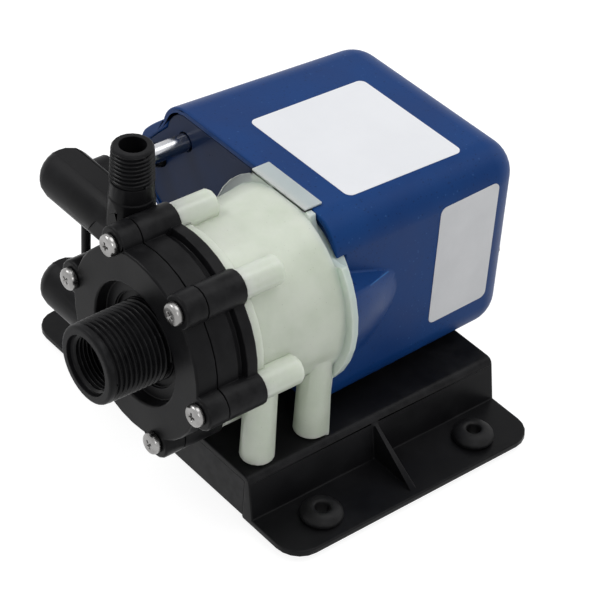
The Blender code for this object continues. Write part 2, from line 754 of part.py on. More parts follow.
def make_bracket():
    back = -mount_flange_back
    front = bell_reach
    flange = mount_flange_radius
    profile = [
        (collar_radius, front), (collar_radius, front - collar_depth),
        (bell_radius, front - collar_depth - 0.8 * mm),
        (bell_radius + bell_flare * 0.2, front - 16 * mm),
        (bell_radius + bell_flare * 0.7, front - 25 * mm),
        (bell_radius + bell_flare, mount_flange_front), (flange, mount_flange_front),
        (flange, back), (0, back), (0, front)]
    bracket = turned("bracket", profile, fine)
    for x, y in bolt_points():
        boss = drum("boss", bracket_boss_radius, front - bracket_boss_length, front, x, y,
                    segments=coarse)
        low = front - bracket_boss_length + mm
        round_edges(boss, 1.6 * mm, 2, lambda a, b: a.z < low and b.z < low)
        bracket = join(bracket, boss)
    up = Matrix.Rotation(-math.pi / 2, 3, "X")
    foot = -axis_height + gap
    for side in (-1, 1):
        for ahead in (leg_front, leg_rear):
            leg = drum("leg", leg_radius, foot, foot + leg_top, segments=middling,
                       top_radius=leg_radius - leg_draft)
            low = foot + mm
            round_edges(leg, 0.9 * mm, 2, lambda a, b: a.z < low and b.z < low)
            leg.data.transform(up.to_4x4())
            leg.data.transform(Matrix.Translation((side * leg_offset, 0, ahead)))
            bracket = join(bracket, leg)
    inner = [(collar_bore, front + mm), (collar_bore, front - collar_depth),
             (bell_bore, front - collar_depth - 1.5 * mm), (bell_bore, back + bracket_back_wall),
             (hub_boss_radius + 1.2 * mm, back + bracket_back_wall),
             (hub_boss_radius + 1.2 * mm, back - mm), (0, back - mm), (0, front + mm)]
    bracket = cut(bracket, turned("inner", inner, 40))
    reach = body_top - axis_z
    trim = bar("trim", (-flange, reach, back - mm), (flange, 2 * flange, bell_reach / 2))
    angle = math.radians(relief_angle)
    away = mount_flange_radius - relief_bite + relief_radius
    relief = drum("relief", relief_radius, back - mm, mount_flange_front, away * math.cos(angle),
                  away * math.sin(angle), segments=middling)
    bracket = cut(bracket, trim, relief)
    for x, y in bolt_points():
        bracket = cut(bracket, drum("hole", screw_radius + gap,
                                    front - screw_grip - screw_tip_room, front + mm, x, y,
                                    segments=coarse))
    for side in (-1, 1):
        bracket = cut(bracket, drum("hole", stator_screw_radius + gap, back - mm,
                                    back + bracket_back_wall + mm, 0,
                                    side * bridge_screw_offset, segments=coarse))
        for ahead in (leg_front, leg_rear):
            hole = drum("hole", screw_radius + gap, foot - mm,
                        foot + base_screw_grip + screw_tip_room, segments=coarse)
            hole.data.transform(up.to_4x4())
            hole.data.transform(Matrix.Translation((side * leg_offset, 0, ahead)))
            bracket = cut(bracket, hole)
    return finish(on_axis(bracket), natural)


def scroll_outline():
    """The volute chamber: radius grows on the way round to the outlet."""
    outline = []
    steps = 30
    for i in range(steps + 1):
        turn = i / steps
        angle = math.radians(172 + 360 * turn)
        radius = scroll_start + scroll_growth * turn
        outline.append((radius * math.cos(angle), radius * math.sin(angle)))
    outline.reverse()
    return outline


def arm(name, side):
    """One arm of the cooling circuit: a level barrel with a domed tip and a flat pad."""
    height = side * arm_offset
    steps = 5
    profile = [(0, arm_reach)]
    for i in range(1, steps + 1):
        angle = math.radians(90 - 90 * i / steps)
        profile.append((arm_radius * math.cos(angle),
                        arm_reach - arm_radius * (1 - math.sin(angle)) * 0.75))
    start = outlet_offset - 2 * mm
    profile += [(arm_radius, start), (0, start)]
    barrel = turned(name, profile, middling)
    barrel.data.transform(Matrix.Rotation(-math.pi / 2, 4, "Y"))
    barrel.data.transform(Matrix.Translation((0, height, arm_z)))
    pad = bar("pad", (-arm_reach - mm, height + arm_flat, arm_z - 2 * arm_radius),
              (-start + 2 * mm, height + 2 * arm_radius, arm_z + arm_flat_back))
    barrel = cut(barrel, pad)
    socket = drum("socket", socket_radius, arm_z - socket_length, arm_z,
                  -tube_x, height - tube_drop, segments=middling)
    return join(barrel, socket)


def make_volute():
    back = volute_back
    front = volute_front
    groove = band_radius - groove_depth
    band = back + band_width
    profile = [
        (head_radius, front), (head_radius, band + groove_width + 0.4 * mm),
        (groove, band + groove_width), (groove, band), (band_radius, band - 0.4 * mm),
        (band_radius, back + 0.5 * mm), (band_radius - 0.5 * mm, back), (0, back), (0, front)]
    volute = turned("volute_body", profile, fine)
    for x, y in bolt_points():
        volute = join(volute, drum("boss", boss_radius, back, front, x, y, segments=boss_sides))
    pipe = outlet_height - outlet_thread_length
    nozzle = turned("nozzle", [
        (outlet_radius - 0.5 * mm, outlet_height), (outlet_radius, outlet_height - 0.8 * mm),
        (outlet_thread_radius, pipe), (outlet_foot_radius, pipe - 0.5 * mm),
        (outlet_foot_radius + 0.3 * mm, 4 * mm), (0, 4 * mm), (0, outlet_height)], middling)
    lift = Matrix.Translation((-outlet_offset, 0, (back + front) / 2))
    nozzle.data.transform(lift @ Matrix.Rotation(-math.pi / 2, 4, "X"))
    volute = join(volute, nozzle, arm("arm", 1), arm("arm", -1))
    bracket_room = drum("bracket_room", bolt_radius + bracket_boss_radius + mm,
                        back - 2 * arm_radius, back, segments=fine)
    cover_room = drum("cover_room", bolt_radius + boss_radius + mm, front, front + arm_radius,
                      segments=fine)
    volute = cut(volute, bracket_room, cover_room)
    volute = cut(volute, slab("scroll", scroll_outline(), floor_front, front + mm))
    casing_seat = turned("seat", [
        (casing_flange_radius + gap, back + casing_flange_thick),
        (casing_flange_radius + gap, back - mm),
        (0, back - mm), (0, back + casing_flange_thick)], fine)
    groove_front = back + casing_flange_thick + 2 * seal_wire
    seal_seat = turned("seal_seat", [
        (seal_radius + 1.3 * seal_wire, groove_front), (seal_radius + 1.3 * seal_wire, back + mm),
        (seal_radius - 1.3 * seal_wire, back + mm), (seal_radius - 1.3 * seal_wire, groove_front)])
    open_eye = drum("eye", capsule_radius + eye_clearance, back - mm, front, segments=fine)
    volute = cut(volute, casing_seat, seal_seat, open_eye)
    bore = drum("bore", outlet_bore, 10 * mm, outlet_height + mm, segments=middling)
    bore.data.transform(lift @ Matrix.Rotation(-math.pi / 2, 4, "X"))
    volute = cut(volute, bore)
    for side in (1, -1):
        height = side * arm_offset
        passage = drum("passage", arm_bore, 0, tube_x + arm_bore, segments=coarse)
        passage.data.transform(Matrix.Rotation(-math.pi / 2, 4, "Y"))
        passage.data.transform(Matrix.Translation((0, height - tube_drop, arm_z)))
        shorten = bar("shorten", (-arm_bore_start, -2 * arm_offset, 0),
                      (arm_reach, 2 * arm_offset, 2 * arm_z))
        passage = cut(passage, shorten)
        socket = drum("socket", tube_radius + gap, arm_z - socket_length - mm, arm_z + mm,
                      -tube_x, height - tube_drop, segments=middling)
        rest = drum("rest", tube_radius + gap + tube_seal_wire * 1.4,
                    arm_z - socket_length - mm, arm_z - socket_length + tube_seal_room,
                    -tube_x, height - tube_drop, segments=middling)
        volute = cut(volute, passage, socket, rest)
    for x, y in bolt_points():
        volute = cut(volute, drum("hole", screw_radius + gap, back - mm, front + mm, x, y,
                                  segments=coarse))
    return finish(on_axis(volute), black)


def make_cover():
    back = cover_back
    front = cover_front
    floor = front - recess_depth
    tip = inlet_tip
    profile = [
        (inlet_radius - 1.2 * mm, tip), (inlet_radius - 0.2 * mm, tip - 0.5 * mm),
        (inlet_radius, tip - 1.4 * mm), (inlet_root_radius, floor - 0.6 * mm),
        (inlet_root_radius + 2.4 * mm, floor - 0.6 * mm), (inlet_root_radius + 2.4 * mm, floor + mm),
        (recess_radius - 0.6 * mm, floor + mm), (recess_radius, front - 0.4 * mm),
        (recess_radius + 0.4 * mm, front), (head_radius - 0.5 * mm, front),
        (head_radius, front - 0.5 * mm), (head_radius, back), (0, back), (0, tip)]
    cover = turned("front_cover", profile, fine)
    for x, y in bolt_points():
        boss = drum("boss", boss_radius, back, front, x, y, segments=boss_sides)
        high = front - mm
        round_edges(boss, 0.5 * mm, 1, lambda a, b: a.z > high and b.z > high)
        cover = join(cover, boss)
    bore = turned("bore", [
        (inlet_bore + inlet_chamfer, tip + mm), (inlet_bore + inlet_chamfer, tip - 1.5 * mm),
        (inlet_bore, tip - 2.5 * mm), (inlet_bore, back - mm), (0, back - mm), (0, tip + mm)], fine)
    cover = cut(cover, bore)
    hub_top = back + spider_depth
    spider = drum("spider", spindle_radius + gap + spider_wall, back, hub_top, segments=middling)
    for k in range(3):
        vane = bar("vane", (0, -spider_web / 2, back),
                   (inlet_bore + spider_web / 2, spider_web / 2, hub_top))
        vane.data.transform(Matrix.Rotation(math.radians(30 + 120 * k), 4, "Z"))
        spider = join(spider, vane)
    seat = drum("seat", spindle_radius + gap, back - mm, back + spindle_seat, segments=coarse)
    cover = cut(join(cover, spider), seat)
    for x, y in bolt_points():
        cover = cut(cover, drum("hole", screw_radius + gap, back - mm, front + mm, x, y,
                                segments=coarse))
    return finish(on_axis(cover), black)


def make_cover_screws():
    seat = cover_front + gap
    top = seat + screw_head_height
    tip = bell_reach - screw_grip
    profile = [(0, top), (screw_head_radius * 0.45, top - 0.1 * mm),
               (screw_head_radius * 0.8, top - 0.6 * mm), (screw_head_radius, seat + 0.9 * mm),
               (screw_head_radius, seat), (screw_radius, seat), (screw_radius, tip + 1.5 * mm),
               (screw_radius * 0.5, tip), (0, tip)]
    for number, (x, y) in enumerate(bolt_points(), 1):
        screw = turned("cover_screw_%d" % number, profile, coarse)
        finish(on_axis(screw, x, y), stainless)


def make_casing():
    """The sealed can between the two magnets."""
    back = casing_back
    front = volute_back + casing_flange_thick - gap
    flange_back = volute_back
    inner = casing_radius - casing_wall
    socket = spindle_radius + 2.4 * mm
    hole = spindle_radius + gap
    profile = [
        (inner, front), (casing_flange_radius, front), (casing_flange_radius, flange_back),
        (casing_radius, flange_back), (casing_radius, back + mm), (casing_radius - mm, back),
        (0, back), (0, back + casing_wall * 0.8), (hole, back + casing_wall * 0.8),
        (hole, back + casing_wall + socket_depth), (socket, back + casing_wall + socket_depth),
        (socket, back + casing_wall), (inner, back + casing_wall)]
    casing = turned("rear_casing", profile, fine)
    return finish(on_axis(casing), natural)


def ring_torus(name, major, wire, height, rows=24, sides=6):
    """An O-ring about Z."""
    bm = bmesh.new()
    rings = []
    for i in range(rows):
        angle = 2 * math.pi * i / rows
        ring = []
        for k in range(sides):
            turn = 2 * math.pi * k / sides
            radius = major + wire * math.cos(turn)
            ring.append(bm.verts.new((radius * math.cos(angle), radius * math.sin(angle),
                                      height + wire * math.sin(turn))))
        rings.append(ring)
    for i in range(rows):
        for k in range(sides):
            bm.faces.new((rings[i][k], rings[(i + 1) % rows][k],
                          rings[(i + 1) % rows][(k + 1) % sides], rings[i][(k + 1) % sides]))
    bmesh.ops.recalc_face_normals(bm, faces=bm.faces)
    return from_bmesh(name, bm)


def make_seals():
    height = volute_back + casing_flange_thick + seal_wire
    casing_seal = ring_torus("casing_seal", seal_radius, seal_wire - 0.05 * mm, height)
    finish(on_axis(casing_seal), rubber)
    for name, side in (("tube_seal_upper", 1), ("tube_seal_lower", -1)):
        seal = ring_torus(name, tube_radius + gap + tube_seal_wire * 0.7,
                          tube_seal_wire * 0.6, arm_z - socket_length + 1.3 * mm, coarse)
        finish(on_axis(seal, -tube_x, side * arm_offset - tube_drop), rubber)


def make_impeller():
    """Impeller with its magnet carrier, which runs in the casing."""
    shroud_back = floor_front + running_gap + 0.5 * mm
    shroud_front = shroud_back + impeller_shroud
    rear = casing_back + casing_wall + socket_depth + washer_thick + 3 * running_gap
    magnet_back = rear + 1.6 * mm
    magnet_front = magnet_back + inner_magnet_length
    bore = bushing_radius + gap
    profile = [
        (bore, shroud_front + impeller_nose), (bore + 2.2 * mm, shroud_front + impeller_nose),
        (bore + 3.4 * mm, shroud_front), (impeller_radius, shroud_front),
        (impeller_radius, shroud_back), (capsule_radius, shroud_back),
        (capsule_radius, magnet_front + gap), (stem_radius, magnet_front + gap),
        (stem_radius, magnet_back - gap), (capsule_radius, magnet_back - gap),
        (capsule_radius, rear), (bore, rear)]
    impeller = turned("impeller", profile, fine)
    for k in range(vane_count):
        swing = impeller_radius * 0.78
        outer = arc(0, -swing, swing, 38, 84, 5)
        inner = arc(0, -swing, swing - vane_thick, 84, 38, 5)
        outline = [(x + impeller_radius * 0.33, y) for x, y in outer + inner]
        vane = slab("vane", outline, shroud_front - 0.5 * mm, shroud_front + vane_height)
        vane.data.transform(Matrix.Rotation(math.radians(360 * k / vane_count), 4, "Z"))
        impeller = join(impeller, vane)
    finish(on_axis(impeller), black)
    magnet = turned("impeller_magnet", [
        (capsule_radius - 0.2 * mm, magnet_front), (capsule_radius - 0.2 * mm, magnet_back),
        (stem_radius + gap, magnet_back), (stem_radius + gap, magnet_front)], fine)
    finish(on_axis(magnet), ferrite)
    bushing = turned("impeller_bushing", [
        (bushing_radius, shroud_front + impeller_nose), (bushing_radius, rear),
        (spindle_radius + running_gap, rear),
        (spindle_radius + running_gap, shroud_front + impeller_nose)], middling)
    finish(on_axis(bushing), ceramic)
    return shroud_front + impeller_nose, rear


def make_spindle(bushing_front, bushing_back):
    back = casing_back + casing_wall * 0.8 + gap
    front = cover_back + spindle_seat - gap
    spindle = drum("spindle", spindle_radius, back, front, segments=middling)
    round_edges(spindle, 0.4 * mm, 1, lambda a, b: abs(a.z - b.z) < 0.01 * mm)
    finish(on_axis(spindle), ceramic)
    hole = spindle_radius + running_gap
    outer = bushing_radius + gap
    rear_back = casing_back + casing_wall + socket_depth + gap
    front_top = cover_back - gap
    for name, low, high in (
            ("rear_thrust_washer", rear_back, rear_back + washer_thick),
            ("front_thrust_washer", bushing_front + running_gap, front_top)):
        washer = turned(name, [(outer, high), (outer, low), (hole, low), (hole, high)], middling)
        finish(on_axis(washer), ceramic)


def make_drive():
    back = 0.0
    plate = back + hub_boss_length
    face = plate + hub_plate
    bore = shaft_radius + gap
    hub = turned("drive_magnet_hub", [
        (hub_outer, hub_length), (hub_outer, plate), (hub_boss_radius, plate),
        (hub_boss_radius, back), (bore, back), (bore, face), (magnet_outer + gap, face),
        (magnet_outer + gap, hub_length)], fine)
    hole = drum("hole", set_screw_radius + gap, shaft_radius, hub_boss_radius + mm,
                segments=coarse)
    hole.data.transform(Matrix.Rotation(-math.pi / 2, 4, "X"))
    hole.data.transform(Matrix.Translation((0, 0, back + hub_boss_length / 2)))
    hub = cut(hub, hole)
    finish(on_axis(hub), zinc)
    magnet = turned("drive_magnet", [
        (magnet_outer, hub_length), (magnet_outer, face + gap), (magnet_inner, face + gap),
        (magnet_inner, hub_length)], fine)
    finish(on_axis(magnet), ferrite)
    screw = drum("hub_set_screw", set_screw_radius, shaft_radius + gap, hub_boss_radius,
                 segments=coarse)
    screw.data.transform(Matrix.Rotation(-math.pi / 2, 4, "X"))
    screw.data.transform(Matrix.Translation((0, 0, back + hub_boss_length / 2)))
    finish(on_axis(screw), stainless)
    shaft = drum("motor_shaft", shaft_radius, -shaft_back, face - gap, segments=middling)
    round_edges(shaft, 0.5 * mm, 1, lambda a, b: abs(a.z - b.z) < 0.01 * mm)
    finish(on_axis(shaft), steel)


def make_rotor():
    front = -stack_front
    back = front - stack_length
    bore = shaft_radius + gap
    rotor = turned("rotor_core", [(rotor_radius, front), (rotor_radius, back), (bore, back),
                                  (bore, front)], fine)
    finish(on_axis(rotor), steel)
    for name, low, high in (
            ("rotor_end_ring_front", front + gap, front + gap + end_ring_thick),
            ("rotor_end_ring_rear", back - gap - end_ring_thick, back - gap)):
        ring = turned(name, [
            (rotor_radius - end_ring_step, high), (rotor_radius - end_ring_step, low),
            (bore + end_ring_bore, low), (bore + end_ring_bore, high)], middling)
        finish(on_axis(ring), zinc)


def make_stator():
    front = -stack_front
    back = front - stack_length
    core = bar("stator_core", (-core_left, -core_half_height, back),
               (core_right, core_half_height, front))
    window = bar("window", (-window_left, -window_half_height, back - mm),
                 (-window_right, window_half_height, front + mm))
    bore = drum("bore", rotor_radius + air_gap, back - mm, front + mm, segments=fine)
    core = cut(core, window, bore)
    for side in (-1, 1):
        core = cut(core, drum("hole", stator_screw_radius + gap, back - mm, front + mm, 0,
                              side * bridge_screw_offset, segments=coarse))
        height = side * shading_height
        slot = bar("slot", (-shading_gap_left, height - shading_slot, back - mm),
                   (-shading_gap_right, height + shading_slot, front + mm))
        core = cut(core, slot)
    finish(on_axis(core), steel)
    leg_low = -core_left
    leg_high = -window_left
    half = window_half_height - gap
    inner_x = (leg_low - gap, leg_high + gap)
    inner_z = (back - gap, front + gap)
    outer_x = (inner_x[0] - bobbin_wall, inner_x[1] + bobbin_wall)
    outer_z = (inner_z[0] - bobbin_wall, inner_z[1] + bobbin_wall)
    wide = coil_thick - bobbin_lip
    wide_x = (outer_x[0] - wide, outer_x[1] + wide)
    wide_z = (outer_z[0] - wide, outer_z[1] + wide)
    bobbin = bar("coil_bobbin", (outer_x[0], -half, outer_z[0]), (outer_x[1], half, outer_z[1]))
    for low, high in ((-half, -half + bobbin_end), (half - bobbin_end, half)):
        bobbin = join(bobbin, bar("end", (wide_x[0], low, wide_z[0]), (wide_x[1], high, wide_z[1])))
    bobbin = cut(bobbin, bar("leg", (inner_x[0], -core_half_height, inner_z[0]),
                             (inner_x[1], core_half_height, inner_z[1])))
    finish(on_axis(bobbin), nylon)
    high = half - bobbin_end - gap
    low = -high
    coil_x_range = (outer_x[0] - coil_thick, outer_x[1] + coil_thick)
    coil_z_range = (outer_z[0] - coil_thick, outer_z[1] + coil_thick)
    coil = bar("motor_coil", (coil_x_range[0], low, coil_z_range[0]),
               (coil_x_range[1], high, coil_z_range[1]))
    round_edges(coil, coil_corner, 3, lambda a, b: abs(a.y - b.y) > mm)
    coil = cut(coil, bar("former", (outer_x[0] - gap, -core_half_height, outer_z[0] - gap),
                         (outer_x[1] + gap, core_half_height, outer_z[1] + gap)))
    finish(on_axis(coil), copper)
    for name, side in (("shading_bar_upper", 1), ("shading_bar_lower", -1)):
        y = side * shading_height
        thick = shading_slot - gap
        ring = bar(name, (-shading_gap_left + gap, y - thick, back - shading_overhang),
                   (-shading_gap_right - gap, y + thick, front + shading_overhang))
        finish(on_axis(ring), copper)
    protector_back = coil_z_range[0] - gap
    protector = bar(
        "thermal_protector",
        (leg_low + mm, -protector_height / 2, protector_back - protector_thick),
        (leg_high - mm, protector_height / 2, protector_back))
    round_edges(protector, 1.2 * mm, 2, lambda a, b: abs(a.y - b.y) > mm)
    finish(on_axis(protector), nylon)


def bridge(name, face, away, cup_end):
    """A bearing bridge: a bar on two feet against the stator, with a cup for the bearing."""
    foot_out = face + away * bridge_stand
    bar_out = foot_out + away * bridge_thick
    low, high = sorted((foot_out, bar_out))
    item = bar(name, (-bridge_width / 2, -bridge_half_height, low),
               (bridge_width / 2, bridge_half_height, high))
    for side in (-1, 1):
        centre = side * bridge_screw_offset
        near, far = sorted((face, foot_out + away * mm))
        item = join(item, bar("foot", (-bridge_width / 2, centre - bridge_foot, near),
                              (bridge_width / 2, centre + bridge_foot, far)))
    low, high = sorted((foot_out, cup_end))
    item = join(item, drum("cup", bearing_radius + bearing_wall, low, high, segments=middling))
    low, high = sorted((foot_out - away * mm, cup_end))
    seat_low, seat_high = sorted((foot_out - away * mm, foot_out + away * (bearing_length + gap)))
    item = cut(item, drum("seat", bearing_radius + gap, seat_low, seat_high, segments=middling),
               drum("through", shaft_radius + shaft_window, low - mm, high + mm,
                    segments=middling))
    for side in (-1, 1):
        low, high = sorted((face - away * mm, bar_out + away * mm))
        item = cut(item, drum("hole", stator_screw_radius + gap, low, high, 0,
                              side * bridge_screw_offset, segments=coarse))
    finish(on_axis(item), zinc)
    return foot_out, bar_out


def bearing(name, foot_out, away):
    low, high = sorted((foot_out, foot_out + away * bearing_length))
    item = turned(name, [(bearing_radius, high), (bearing_radius, low),
                         (shaft_radius + shaft_clearance, low),
                         (shaft_radius + shaft_clearance, high)],
                  middling)
    finish(on_axis(item), bronze)


def make_bearings():
    front_face = -stack_front + gap
    rear_face = -stack_front - stack_length - gap
    front_foot, _ = bridge("front_bearing_bridge", front_face, 1, -mount_flange_back - gap)
    bearing("front_bearing", front_foot, 1)
    rear_cup = rear_face - bridge_stand - bearing_length - bearing_floor
    rear_foot, rear_bar = bridge("rear_bearing_bridge", rear_face, -1, rear_cup)
    bearing("rear_bearing", rear_foot, -1)
    head = rear_bar - gap
    tip = -mount_flange_back + bracket_back_wall - stator_screw_short
    for name, side in (("stator_screw_upper", 1), ("stator_screw_lower", -1)):
        screw = turned(name, [
            (0, tip), (stator_screw_radius, tip - 0.6 * mm), (stator_screw_radius, head),
            (stator_screw_head, head), (stator_screw_head, head - stator_screw_head_height * 0.7),
            (stator_screw_head * 0.6, head - stator_screw_head_height),
            (0, head - stator_screw_head_height)], coarse)
        finish(on_axis(screw, 0, side * bridge_screw_offset), steel)


def make_cooling_tube():
    """A stainless tube that runs from one arm round the motor to the other."""
    (x, top, _), (_, low, _) = tube_ends()
    start_y = mouth_y - (arm_z - arm_bore - gap)
    bend_y = mouth_y + tube_depth
    lean_y = mouth_y + potting_recess + potting_depth
    radius = (top - low) / 2
    bend = [(start_y, top), (lean_y, top), (lean_y + tube_straight, top)]
    bend += arc(bend_y, low + radius, radius, 90, -90, 14)
    bend += [(lean_y + tube_straight, low), (lean_y, low), (start_y, low)]
    points = [(x + tube_lean * max(0.0, y - lean_y), y, z) for y, z in bend]
    item = settle(tube("cooling_tube", points, tube_radius, 3, capped=False))
    wall = item.modifiers.new("wall", "SOLIDIFY")
    wall.thickness = tube_wall
    wall.offset = -1.0
    finish(settle(item), stainless)


def smooth_route(points, spacing):
    """Points about one spacing apart on a smooth curve through the route's points."""
    knots = [Vector(point) for point in points]
    knots = [2 * knots[0] - knots[1]] + knots + [2 * knots[-1] - knots[-2]]
    samples = []
    for i in range(1, len(knots) - 2):
        a, b, c, d = knots[i - 1:i + 3]
        steps = max(2, round((c - b).length / spacing))
        for k in range(steps):
            t = k / steps
            samples.append(0.5 * (2 * b + (c - a) * t + (2 * a - 5 * b + 4 * c - d) * t ** 2
                                  + (3 * b - a - 3 * c + d) * t ** 3))
    samples.append(knots[-2])
    return samples


def coil_place():
    """World X and Y of the coil's middle."""
    return coil_x, mouth_y + body_length + coil_room + coil_outer


def lead_route():
    """World points that the lead follows, from the housing to the coil's left side."""
    x, z, _ = lead_exit()
    front = mouth_y + potting_recess
    cx, cy = coil_place()
    side = cx - coil_outer + lead_radius
    reach = math.sqrt(coil_outer ** 2 - (coil_outer - 2 * lead_radius) ** 2) + gap
    end = cy - reach
    low = lead_radius + 0.05 * mm
    free = [(-55.5, -13.5, 69.2), (-62.5, -18.2, 65.0), (-70.5, -17.5, 57.0), (-74.4, -15.2, 46.0),
            (-74.7, -14.6, 34.0), (-74.7, -14.5, 22.0), (-75.0, -13.8, 12.0), (-76.1, -9.9, 4.8),
            (-77.0, -3.0, 2.3), (-77.3, 5.0, 1.75), (-77.3, 16.0, 1.75), (-77.3, 32.0, 1.75),
            (-76.8, 48.0, 1.75), (-74.0, 62.0, 1.75), (-67.0, 73.0, 1.8), (-57.5, 81.5, 2.0)]
    route = [(x, front + relief_root - gap, z), (x, front - relief_length, z)]
    route += [(px * mm, py * mm, pz * mm) for px, py, pz in free]
    lift = coil_lift + lead_radius
    route += [(side - 3.2 * mm, end - 9 * mm, 0.6 * low + 0.4 * lift),
              (side - 0.4 * mm, end - 3.5 * mm, lift), (side, end, lift)]
    return [(px, py, max(pz, low)) for px, py, pz in smooth_route(route, 5.5 * lead_radius)]


def make_lead():
    x, z, radius = lead_exit()
    hole = lead_radius + gap
    relief = turned("lead_strain_relief", [
        (hole + relief_tip_wall, relief_length), (radius - 0.5 * mm, relief_collar + 0.6 * mm),
        (radius, relief_collar), (radius, -relief_root), (hole, -relief_root),
        (hole, relief_length)], middling)
    relief.location = (x, mouth_y + potting_recess, z)
    relief.rotation_euler = (math.pi / 2, 0, 0)
    finish(relief, rubber)
    finish(settle(tube("power_lead", lead_route(), lead_radius, 2)), rubber, 60)


def make_lead_coil():
    cx, cy = coil_place()
    outer = coil_outer
    inner = coil_turn_radius - coil_columns * lead_radius
    low = coil_lift
    high = low + coil_rows * 2 * lead_radius
    edge = coil_edge
    ring = turned("power_lead_coil", [
        (outer - edge, high), (outer, high - edge), (outer, low + edge), (outer - edge, low),
        (inner + edge, low), (inner, low + edge), (inner, high - edge), (inner + edge, high)],
        middling)
    ring.location = (cx, cy, 0)
    finish(ring, rubber)
    near = inner - 3 * gap
    far = outer + gap
    tie = bar("lead_tie", (cx - tie_width / 2, cy + near - tie_thick, 0),
              (cx + tie_width / 2, cy + far + tie_thick, high + gap + tie_thick))
    room = bar("room", (cx - tie_width, cy + near, low - gap), (cx + tie_width, cy + far, high + gap))
    finish(cut(tie, room), rubber)


def make_lead_end():
    """The lead's last stretch, beside the coil, and its connector."""
    cx, cy = coil_place()
    x = cx + coil_outer + gap + lead_radius
    low = lead_radius + 0.05 * mm
    end = cy - connector_tail
    middle = connector_height / 2
    tail = tube("power_lead_tail", [(x, cy, low), (x, cy - connector_tail * 0.3, low),
                                    (x, cy - connector_tail * 0.65, (low + middle) / 2),
                                    (x, end + mm, middle), (x, end, middle)], lead_radius, 2)
    finish(settle(tail), rubber, 60)
    half = connector_width / 2
    back = end - gap
    front = back - connector_length
    plug = bar("lead_connector", (x - half, front, 0), (x + half, back, connector_height))
    round_edges(plug, 0.8 * mm, 2, lambda a, b: abs(a.y - b.y) > mm)
    for side in (-1, 1):
        place = x + side * half / 2
        socket = bar("socket", (place - connector_pin / 2, front - mm, middle - connector_pin / 2),
                     (place + connector_pin / 2, front + connector_pin_depth,
                      middle + connector_pin / 2))
        plug = cut(plug, socket)
    finish(plug, black)


parts = start()
make_base()
make_grommets()
make_base_screws()
make_housing()
make_potting()
make_bracket()
make_volute()
make_cover()
make_cover_screws()
make_casing()
make_seals()
make_spindle(*make_impeller())
make_drive()
make_rotor()
make_stator()
make_bearings()
make_cooling_tube()
make_lead()
make_lead_coil()
make_lead_end()
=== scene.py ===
import math

import bpy
from mathutils import Matrix, Vector


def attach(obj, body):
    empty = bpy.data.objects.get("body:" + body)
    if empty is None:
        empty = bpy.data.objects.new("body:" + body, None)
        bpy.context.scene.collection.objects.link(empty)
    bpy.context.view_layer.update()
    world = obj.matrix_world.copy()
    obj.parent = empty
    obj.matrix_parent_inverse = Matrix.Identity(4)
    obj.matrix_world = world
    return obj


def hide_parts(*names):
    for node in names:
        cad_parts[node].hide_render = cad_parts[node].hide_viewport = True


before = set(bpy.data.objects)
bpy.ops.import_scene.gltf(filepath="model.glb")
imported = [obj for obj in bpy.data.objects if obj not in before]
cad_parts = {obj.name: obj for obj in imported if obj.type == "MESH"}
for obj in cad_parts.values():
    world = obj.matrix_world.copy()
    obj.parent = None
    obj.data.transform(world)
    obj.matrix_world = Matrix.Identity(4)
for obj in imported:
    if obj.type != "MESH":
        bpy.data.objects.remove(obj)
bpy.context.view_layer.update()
mm = 0.001
pumpAxis = Vector((16.3, -1.05, 63.5)) * mm     # where the pump's axis meets the housing's mouth
axisPlace = (16.3 * mm, 63.5 * mm)              # the same axis, across and up
mergeGap = {"cad": 0.004 * mm, "made": 0.002 * mm, "lathe": 0.001 * mm}


cameraSetup = {"place": (0.4695, -0.40085, 0.5277), "azimuth": 48.14, "elevation": 38.08,
               "roll": 4.43, "lens": 144.0, "sensor": 36.0, "nearest": 0.05}


def makeCamera():
    bpy.ops.object.camera_add()
    camera = bpy.context.object
    camera.name = "photoCamera"
    turn = (Matrix.Rotation(math.radians(cameraSetup["azimuth"]), 4, "Z")
            @ Matrix.Rotation(math.radians(90 - cameraSetup["elevation"]), 4, "X")
            @ Matrix.Rotation(math.radians(cameraSetup["roll"]), 4, "Z"))
    camera.matrix_world = Matrix.Translation(cameraSetup["place"]) @ turn
    camera.data.lens = cameraSetup["lens"]
    camera.data.sensor_width = cameraSetup["sensor"]
    camera.data.clip_start = cameraSetup["nearest"]
    bpy.context.scene.camera = camera


makeCamera()
print("camera set")


def deselectAll():
    for thing in bpy.context.selected_objects:
        thing.select_set(False)


def makeActive(piece):
    deselectAll()
    piece.select_set(True)
    bpy.context.view_layer.objects.active = piece


def editMode():
    bpy.ops.object.mode_set(mode="EDIT")


def objectMode():
    bpy.ops.object.mode_set(mode="OBJECT")


def selectAll():
    bpy.ops.mesh.select_all(action="SELECT")


def editMesh(piece):
    makeActive(piece)
    editMode()
    bpy.ops.mesh.select_all(action="DESELECT")


selectModes = {"vertices": "VERT", "edges": "EDGE", "polygons": "FACE"}


def selectParts(piece, kind, wanted):
    # in edit mode, selects the vertices, edges or polygons that are wanted
    bpy.ops.mesh.select_all(action="DESELECT")
    bpy.ops.mesh.select_mode(type=selectModes[kind])
    objectMode()
    for part in getattr(piece.data, kind):
        part.select = bool(wanted(part))
    editMode()


def edgeEnds(piece, edge):
    return [piece.data.vertices[k].co for k in edge.vertices]


def dropFaces():
    # in edit mode, keeps only the outline's edges, and leaves edit mode
    selectAll()
    bpy.ops.mesh.delete(type="ONLY_FACE")
    objectMode()


def added(operator, **values):
    # what an add operator makes, with nothing else selected
    deselectAll()
    operator(**values)
    return bpy.context.object


def settlePlace(piece):
    # the place goes into the mesh, and the object sits at the origin
    makeActive(piece)
    bpy.ops.object.transform_apply(location=True, rotation=True, scale=True)
    return piece


def applyModifiers(piece):
    makeActive(piece)
    for modifier in list(piece.modifiers):
        bpy.ops.object.modifier_apply(modifier=modifier.name)
    return piece


